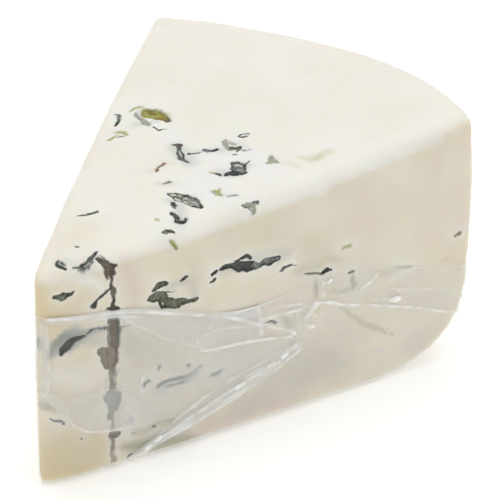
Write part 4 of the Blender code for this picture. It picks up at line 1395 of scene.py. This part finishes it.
def loose_creases(seed: int, face: Face, count: int, span: tuple[float, float]) -> tuple[Crease, ...]:
    """Crease the film at random where no photograph shows it, or only faintly.

    Args:
        seed: What the random draws start from.
        face: The face that the creases lie on.
        count: How many creases there are.
        span: Between which first measures they start.

    Returns:
        The creases.
    """
    draw = random.Random(seed)
    creases = []
    for _ in range(count):
        first = draw.uniform(*span)
        second = draw.uniform(1.0, 27.0)
        heading = draw.gauss(0.2, 0.35)
        length = draw.uniform(2.0, 8.0)
        path = []
        for _ in range(draw.randint(2, 4)):
            path.append((first, second, draw.uniform(0.1, 0.4)))
            first += length * math.cos(heading)
            second += length * math.sin(heading)
            heading += draw.gauss(0.0, 0.25)
        creases.append(Crease(face=face, path=tuple(path), painted_shine=draw.uniform(0.1, 0.5)))
    return tuple(creases)


@dataclass
class CheeseSlice:
    """The slice of cheese: moist cut faces, with mould in pits and pale places round it."""

    form: SliceForm = field(default_factory=SliceForm)
    finish: GoatCheesePaste = field(default_factory=GoatCheesePaste)
    cell: float = 0.8
    rounds: int = 4
    fine_limits: tuple[float, float] = (1.1, 0.6)
    sway: float = 0.16
    sway_grain: float = 11.0
    dimple: float = 0.035
    dimple_grain: float = 2.2
    wander: float = 0.4
    wander_grain: float = 1.6
    stain_wander: float = 1.2
    stain_wander_grain: float = 4.0
    halo: float = 0.65
    halo_reach: float = 1.1
    ripe_reach: float = 11.0
    ripe_foot: float = 12.0
    ripe_band: float = 37.0
    ripe_band_spread: float = 7.0
    back_seed: int = 11
    back_count: int = 34
    colonies: tuple[Colony, ...] = ()

    def build(self, solid: bpy.types.Object) -> None:
        """Draw the slice off its solid and dress it.

        Args:
            solid: The frame's node of the slice.
        """
        self.colonies = top_colonies() + front_colonies() + back_colonies(self.back_seed, self.back_count)
        skin = Skin("goat_cheese_slice", solid, self.cell, self.rounds, taut=False)
        skin.refine(lambda points: self.nearest(points)[0], self.fine_limits)
        self.undulate(skin)
        self.grow_mould(skin)
        self.colour_curd(skin)
        skin.finish(self.finish.material(), solid.name, "cheese_paste")

    def charts(self, points: np.ndarray, wander: float, grain: float) -> dict[Face, np.ndarray]:
        """Lay points out on every face, shaken a little so that edges come out ragged.

        Args:
            points: Points in millimetres.
            wander: How far they are shaken.
            grain: The size of the shake's bumps.

        Returns:
            The chart of each face.
        """
        shake = [noise.noise_vector(point)[:] for point in (points / grain).tolist()]
        shake = np.array(shake) * (wander, wander, 0.0)
        return {face: self.form.chart(face, points) + shake for face in Face}

    def nearest(self, points: np.ndarray) -> tuple[np.ndarray, np.ndarray]:
        """Find the growth nearest to each point.

        Args:
            points: Points in millimetres.

        Returns:
            The distances in millimetres, and which colony each is to.
        """
        charts = self.charts(points, self.wander, self.wander_grain)
        best = np.full(len(points), FAR)
        which = np.zeros(len(points), int)
        for index, colony in enumerate(self.colonies):
            gap = colony.distances(charts[colony.face])
            which[(gap < best) | (colony.over & (gap < 0.0))] = index
            best = np.minimum(best, gap)
        return best, which

    def undulate(self, skin: Skin) -> None:
        """Give the cut faces the slow waves and small dimples that a knife leaves in soft curd."""
        points = skin.points()
        wave = ruffle(points, self.sway_grain, 1.0) * self.sway
        wave += ruffle(points, self.dimple_grain, 2.0) * self.dimple
        skin.raise_by(wave)

    def grow_mould(self, skin: Skin) -> None:
        """Sink the mould into the skin and keep its place and colour for the finish."""
        points = skin.points()
        gap, which = self.nearest(points)
        depth = np.array([colony.pit for colony in self.colonies])[which]
        skin.raise_by(-depth * fade(gap, 0.15, -0.5) * (1.0 + 0.8 * ruffle(points, 0.9, 3.0)))
        skin.store("mould_distance", gap)
        tints = np.array([linear(colony.tint.value) for colony in self.colonies])
        skin.store_colour("mould_tint", tints[which])
        for trait in ("rim", "crumbs", "blur"):
            values = np.array([getattr(colony, trait) for colony in self.colonies])
            skin.store("mould_" + trait, values[which])

    def colour_curd(self, skin: Skin) -> None:
        """Keep how bleached, ripe and stained the curd is, with the painted shoulder highlight and the
        painted tip glow among them, and where it is a cut side, whose colour carries painted shade.
        """
        points = skin.points()
        charts = self.charts(points, self.stain_wander, self.stain_wander_grain)
        bleach_and_highlight = np.zeros(len(points))
        for place in bleached_and_highlit_places():
            share = fade(place.distances(charts[place.face]), place.blur, -place.blur)
            bleach_and_highlight = np.maximum(bleach_and_highlight, place.strength * share)
        gap, _ = self.nearest(points)
        bleach_and_highlight = np.maximum(bleach_and_highlight, self.halo * np.exp(-np.maximum(gap, 0.0) / self.halo_reach))
        bleach_and_highlight *= 0.9 + 0.5 * ruffle(points, 5.0, 4.0)

        stained = np.zeros((len(points), 4))
        for stain in stains():
            share = stain.strength * fade(stain.distances(charts[stain.face]), stain.blur, -stain.blur)
            over = stained[:, 3] * (1.0 - share)
            total = np.maximum(over + share, 1e-6)
            tint = np.array(linear(stain.tint.value)[:3])
            stained[:, :3] = (stained[:, :3] * over[:, None] + tint * share[:, None]) / total[:, None]
            stained[:, 3] = over + share

        x, y, z = self.form.plan(points).T
        upright = 1.0 - fade(skin.normals()[:, 2], 0.25, 0.75)
        # Painted glow: yellower near the tip, more on the upright faces and towards the foot, partly
        # ripening and partly light shining through the thin tip.
        ripe = np.exp(-np.hypot(x, y) / self.ripe_reach) * (0.25 + 0.75 * upright)
        band = 0.45 * np.exp(-(((z - self.ripe_band) / self.ripe_band_spread) ** 2))
        ripe *= 0.45 + 0.55 * np.maximum(fade(z, self.ripe_foot, 2.0), band)
        ripe += 0.25 * np.maximum(ruffle(points, 9.0, 5.0), 0.0) * upright
        skin.store("bleach_and_highlight", np.clip(bleach_and_highlight, 0.0, 1.0))
        skin.store("ripeness_and_glow", np.clip(ripe, 0.0, 1.0))
        # Painted shade: the upright cut faces take the darker cut colour.
        skin.store("shaded_cut_side", upright)
        skin.store_colour("stain", stained)


@dataclass
class FilmWrap:
    """The clear film round the slice's foot, creased, doubled in places and cut off unevenly."""

    form: SliceForm = field(default_factory=SliceForm)
    finish: ClearFilm = field(default_factory=ClearFilm)
    cell: float = 0.8
    rounds: int = 4
    clearance: float = 0.3
    hug: float = 0.18
    fine_limits: tuple[float, float] = (1.1, 0.65)
    billow: float = 0.1
    billow_grain: float = 5.0
    least_haze: float = 0.11
    crease_spread: float = 0.2
    streak_heading: float = math.radians(17.0)
    streak_length: float = 7.0
    streak_width: float = 0.8
    streak_lift: float = 0.12
    streak_shine: float = 0.28
    hem_width: float = 0.35
    hem_shine: float = 0.3
    hem_end: float = 62.0
    back_creases: int = 40
    heel_creases: int = 26
    seed: int = 5
    panes: tuple[Pane, ...] = ()
    creases: tuple[Crease, ...] = ()

    def build(self, solid: bpy.types.Object, core: bpy.types.Object) -> None:
        """Draw the film taut round the slice's solid, crease it and dress it.

        Args:
            solid: The frame's node of the film.
            core: The frame's node of the slice that the film clings to.
        """
        self.panes = front_panes()
        self.creases = (
            front_creases()
            + loose_creases(self.seed + 1, Face.BACK, self.back_creases, (3.0, 96.0))
            + loose_creases(self.seed + 2, Face.HEEL, self.heel_creases, (-42.0, 42.0))
        )
        skin = Skin("clear_film_wrap", core, self.cell, self.rounds, taut=True)
        skin.raise_by(np.full(len(skin.mesh.vertices), self.clearance))
        self.settle(skin)
        self.cut_edge(skin)
        skin.refine(self.nearest, self.fine_limits)
        self.crease(skin)
        skin.finish(self.finish.material(), solid.name, "clear_film")

    def nearest(self, points: np.ndarray) -> np.ndarray:
        """Measure how near each point is to a crease or to the edge of a raised pane.

        Args:
            points: Points in millimetres.

        Returns:
            Distances in millimetres.
        """
        charts = {face: self.form.chart(face, points) for face in Face}
        best = np.full(len(points), FAR)
        for crease in self.creases:
            best = np.minimum(best, crease.distances(charts[crease.face]))
        for pane in self.panes:
            if pane.lift > 0.1:
                gap = pane.distances(charts[pane.face])
                best = np.minimum(best, gap if pane.streaks else np.abs(gap) + 0.2)
        return best

    def settle(self, skin: Skin) -> None:
        """Press the film's underside flat on the floor."""
        points = skin.points()
        lowest = points[:, 2].min()
        points[:, 2] -= lowest * fade(points[:, 2], 3.0, lowest)
        skin.mesh.vertices.foreach_set("co", (points * MM).ravel())
        skin.mesh.update()

    def streaks(self, chart: np.ndarray) -> np.ndarray:
        """Draw fine streaks that run along the flap, from the foot up towards the side.

        Args:
            chart: Points laid out on the front cut.

        Returns:
            Noise mostly between -0.5 and 0.5.
        """
        run, rise = math.cos(self.streak_heading), math.sin(self.streak_heading)
        along = chart[:, 0] * run + chart[:, 1] * rise
        across = chart[:, 1] * run - chart[:, 0] * rise
        spread = (along / self.streak_length, across / self.streak_width, np.zeros(len(chart)))
        return ruffle(np.column_stack(spread), 1.0, 8.0)

    def cut_edge(self, skin: Skin) -> None:
        """Cut the film off along its upper edge."""
        body = bmesh.new()
        body.from_mesh(skin.mesh)
        body.verts.index_update()
        points = np.array([vertex.co[:] for vertex in body.verts]) / MM
        over = self.form.above_film(points)
        shares = {}
        for edge in body.edges:
            first, second = (over[end.index] for end in edge.verts)
            if (first < 0.0) != (second < 0.0):
                shares[edge] = first / (first - second)
        bmesh.ops.subdivide_edges(body, edges=list(shares), cuts=1, edge_percents=shares)
        middles = np.array([face.calc_center_median()[:] for face in body.faces]) / MM
        above = self.form.above_film(middles) > 0.0
        doomed = [face for face, over in zip(body.faces[:], above) if over]
        bmesh.ops.delete(body, geom=doomed, context="FACES")
        body.to_mesh(skin.mesh)
        body.free()

    def crease(self, skin: Skin) -> None:
        """Raise the folds and keep how milky the film is and how white its creases are painted, partly
        stretched film and partly painted highlights and glints.
        """
        points = skin.points()
        charts = {face: self.form.chart(face, points) for face in Face}
        over = self.form.above_film(points)
        lift = (ruffle(points, self.billow_grain, 7.0) + 0.4) * self.billow
        clear = np.full(len(points), 1.0 - self.least_haze)
        # How white the film is painted along creases, streaks and hem: partly stretched film, partly
        # painted highlights and glints.
        line = np.zeros(len(points))
        streaks = self.streaks(charts[Face.FRONT])
        for pane in self.panes:
            gap = pane.distances(charts[pane.face])
            inside = fade(gap, pane.blur, -pane.blur)
            ridge = pane.streaks * inside * fade(streaks, 0.05, 0.4)
            lift += pane.lift * inside + self.streak_lift * ridge
            clear *= 1.0 - pane.haze * inside * (1.0 - 0.2 * pane.streaks * fade(streaks, 0.0, -0.35))
            line = np.maximum(line, self.streak_shine * ridge)
        for crease in self.creases:
            gap = np.maximum(crease.distances(charts[crease.face]), 0.0)
            strength = np.exp(-((gap / self.crease_spread) ** 2))
            strength *= 0.75 + 1.1 * ruffle(points, 2.6, 9.0)
            lift += crease.lift * strength
            line = np.maximum(line, crease.painted_shine * strength)
        hem = self.hem_shine * np.exp(-((over / self.hem_width) ** 2))
        line = np.maximum(line, hem * fade(charts[Face.FRONT][:, 0], self.hem_end, self.hem_end - 12.0))
        lift -= self.hug * fade(over, -2.5, 0.0)
        skin.raise_by(lift * fade(points[:, 2], 0.4, 2.5))
        skin.store("haze", 1.0 - clear)
        skin.store("crease", np.clip(line, 0.0, 1.0))


def direction(azimuth: float, elevation: float) -> Vector:
    """Give the direction from the slice towards an onlooker.

    Args:
        azimuth: Degrees from the front, -Y, towards +X.
        elevation: Degrees above the floor.

    Returns:
        A vector of length 1.
    """
    turn, rise = math.radians(azimuth), math.radians(elevation)
    flat = math.cos(rise)
    return Vector((math.sin(turn) * flat, -math.cos(turn) * flat, math.sin(rise)))


@dataclass(frozen=True)
class Lamp:
    """One soft box of the studio, in metres and watts."""

    name: str
    azimuth: float
    elevation: float
    distance: float
    width: float
    height: float
    power: float

    def build(self, aim: Vector) -> None:
        """Hang the lamp and turn it towards the slice.

        Args:
            aim: What the lamp points at.
        """
        light = bpy.data.lights.new(self.name, "AREA")
        light.shape = "RECTANGLE"
        light.size = self.width
        light.size_y = self.height
        light.energy = self.power
        lamp = bpy.data.objects.new(self.name, light)
        bpy.context.scene.collection.objects.link(lamp)
        away = direction(self.azimuth, self.elevation)
        lamp.location = aim + away * self.distance
        lamp.rotation_euler = away.to_track_quat("Z", "Y").to_euler()


@dataclass
class Studio:
    """A lit white board under soft light, seen as the photograph was taken."""

    board: LightBoard = field(default_factory=LightBoard)
    azimuth: float = 35.65
    elevation: float = 30.45
    roll: float = -0.15
    distance: float = 0.5748
    aim: tuple[float, float, float] = (0.00672, 0.01068, 0.02672)
    focal_length: float = 200.0
    board_size: float = 4.0
    board_drop: float = 0.00005
    sky: float = 0.52
    lamps: tuple[Lamp, ...] = (
        Lamp("overhead_box", 215.0, 74.0, 1.2, 1.4, 1.4, 8.25),
        Lamp("side_strip", 95.0, 38.0, 0.9, 0.08, 0.5, 0.4),
        Lamp("front_strip", -10.0, 45.0, 0.9, 0.08, 0.4, 0.35),
    )

    def build(self) -> None:
        """Set up the camera, the board, the sky and the lamps."""
        aim = Vector(self.aim)
        self.place_camera(aim)
        world = bpy.data.worlds.new("soft_sky")
        world.use_nodes = True
        background = world.node_tree.nodes["Background"]
        background.inputs["Color"].default_value = linear("#FFFFFF")
        background.inputs["Strength"].default_value = self.sky
        bpy.context.scene.world = world
        bpy.context.scene.view_settings.view_transform = "Standard"
        for lamp in self.lamps:
            lamp.build(aim)
        self.lay_board()

    def place_camera(self, aim: Vector) -> None:
        """Set the camera up on the photograph's view of the slice."""
        lens = bpy.data.cameras.new("camera")
        lens.lens = self.focal_length
        lens.clip_start = 0.01
        camera = bpy.data.objects.new("camera", lens)
        bpy.context.scene.collection.objects.link(camera)
        away = direction(self.azimuth, self.elevation)
        camera.location = aim + away * self.distance
        level = away.to_track_quat("Z", "Y").to_matrix().to_4x4()
        camera.rotation_euler = (level @ Matrix.Rotation(math.radians(self.roll), 4, "Z")).to_euler()
        bpy.context.scene.camera = camera

    def lay_board(self) -> None:
        """Lay the lit board under the slice."""
        sheet = bmesh.new()
        bmesh.ops.create_grid(sheet, x_segments=1, y_segments=1, size=self.board_size / 2)
        mesh = bpy.data.meshes.new("board")
        sheet.to_mesh(mesh)
        sheet.free()
        mesh.materials.append(self.board.material())
        board = bpy.data.objects.new("board", mesh)
        board.location.z = -self.board_drop
        bpy.context.scene.collection.objects.link(board)


def main() -> None:
    """Build the studio, the slice and its film."""
    logging.basicConfig(level=logging.INFO, format="%(name)s: %(message)s")
    # Vector noise would otherwise start from the clock
    noise.seed_set(SHAKE_SEED)
    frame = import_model()
    nodes = frame["nodes"]

    Studio().build()
    LOG.info("studio ready")
    CheeseSlice().build(nodes["cheese_wedge"])
    FilmWrap().build(nodes["film_wrap"], nodes["cheese_wedge"])


if __name__ == "__main__":
    main()
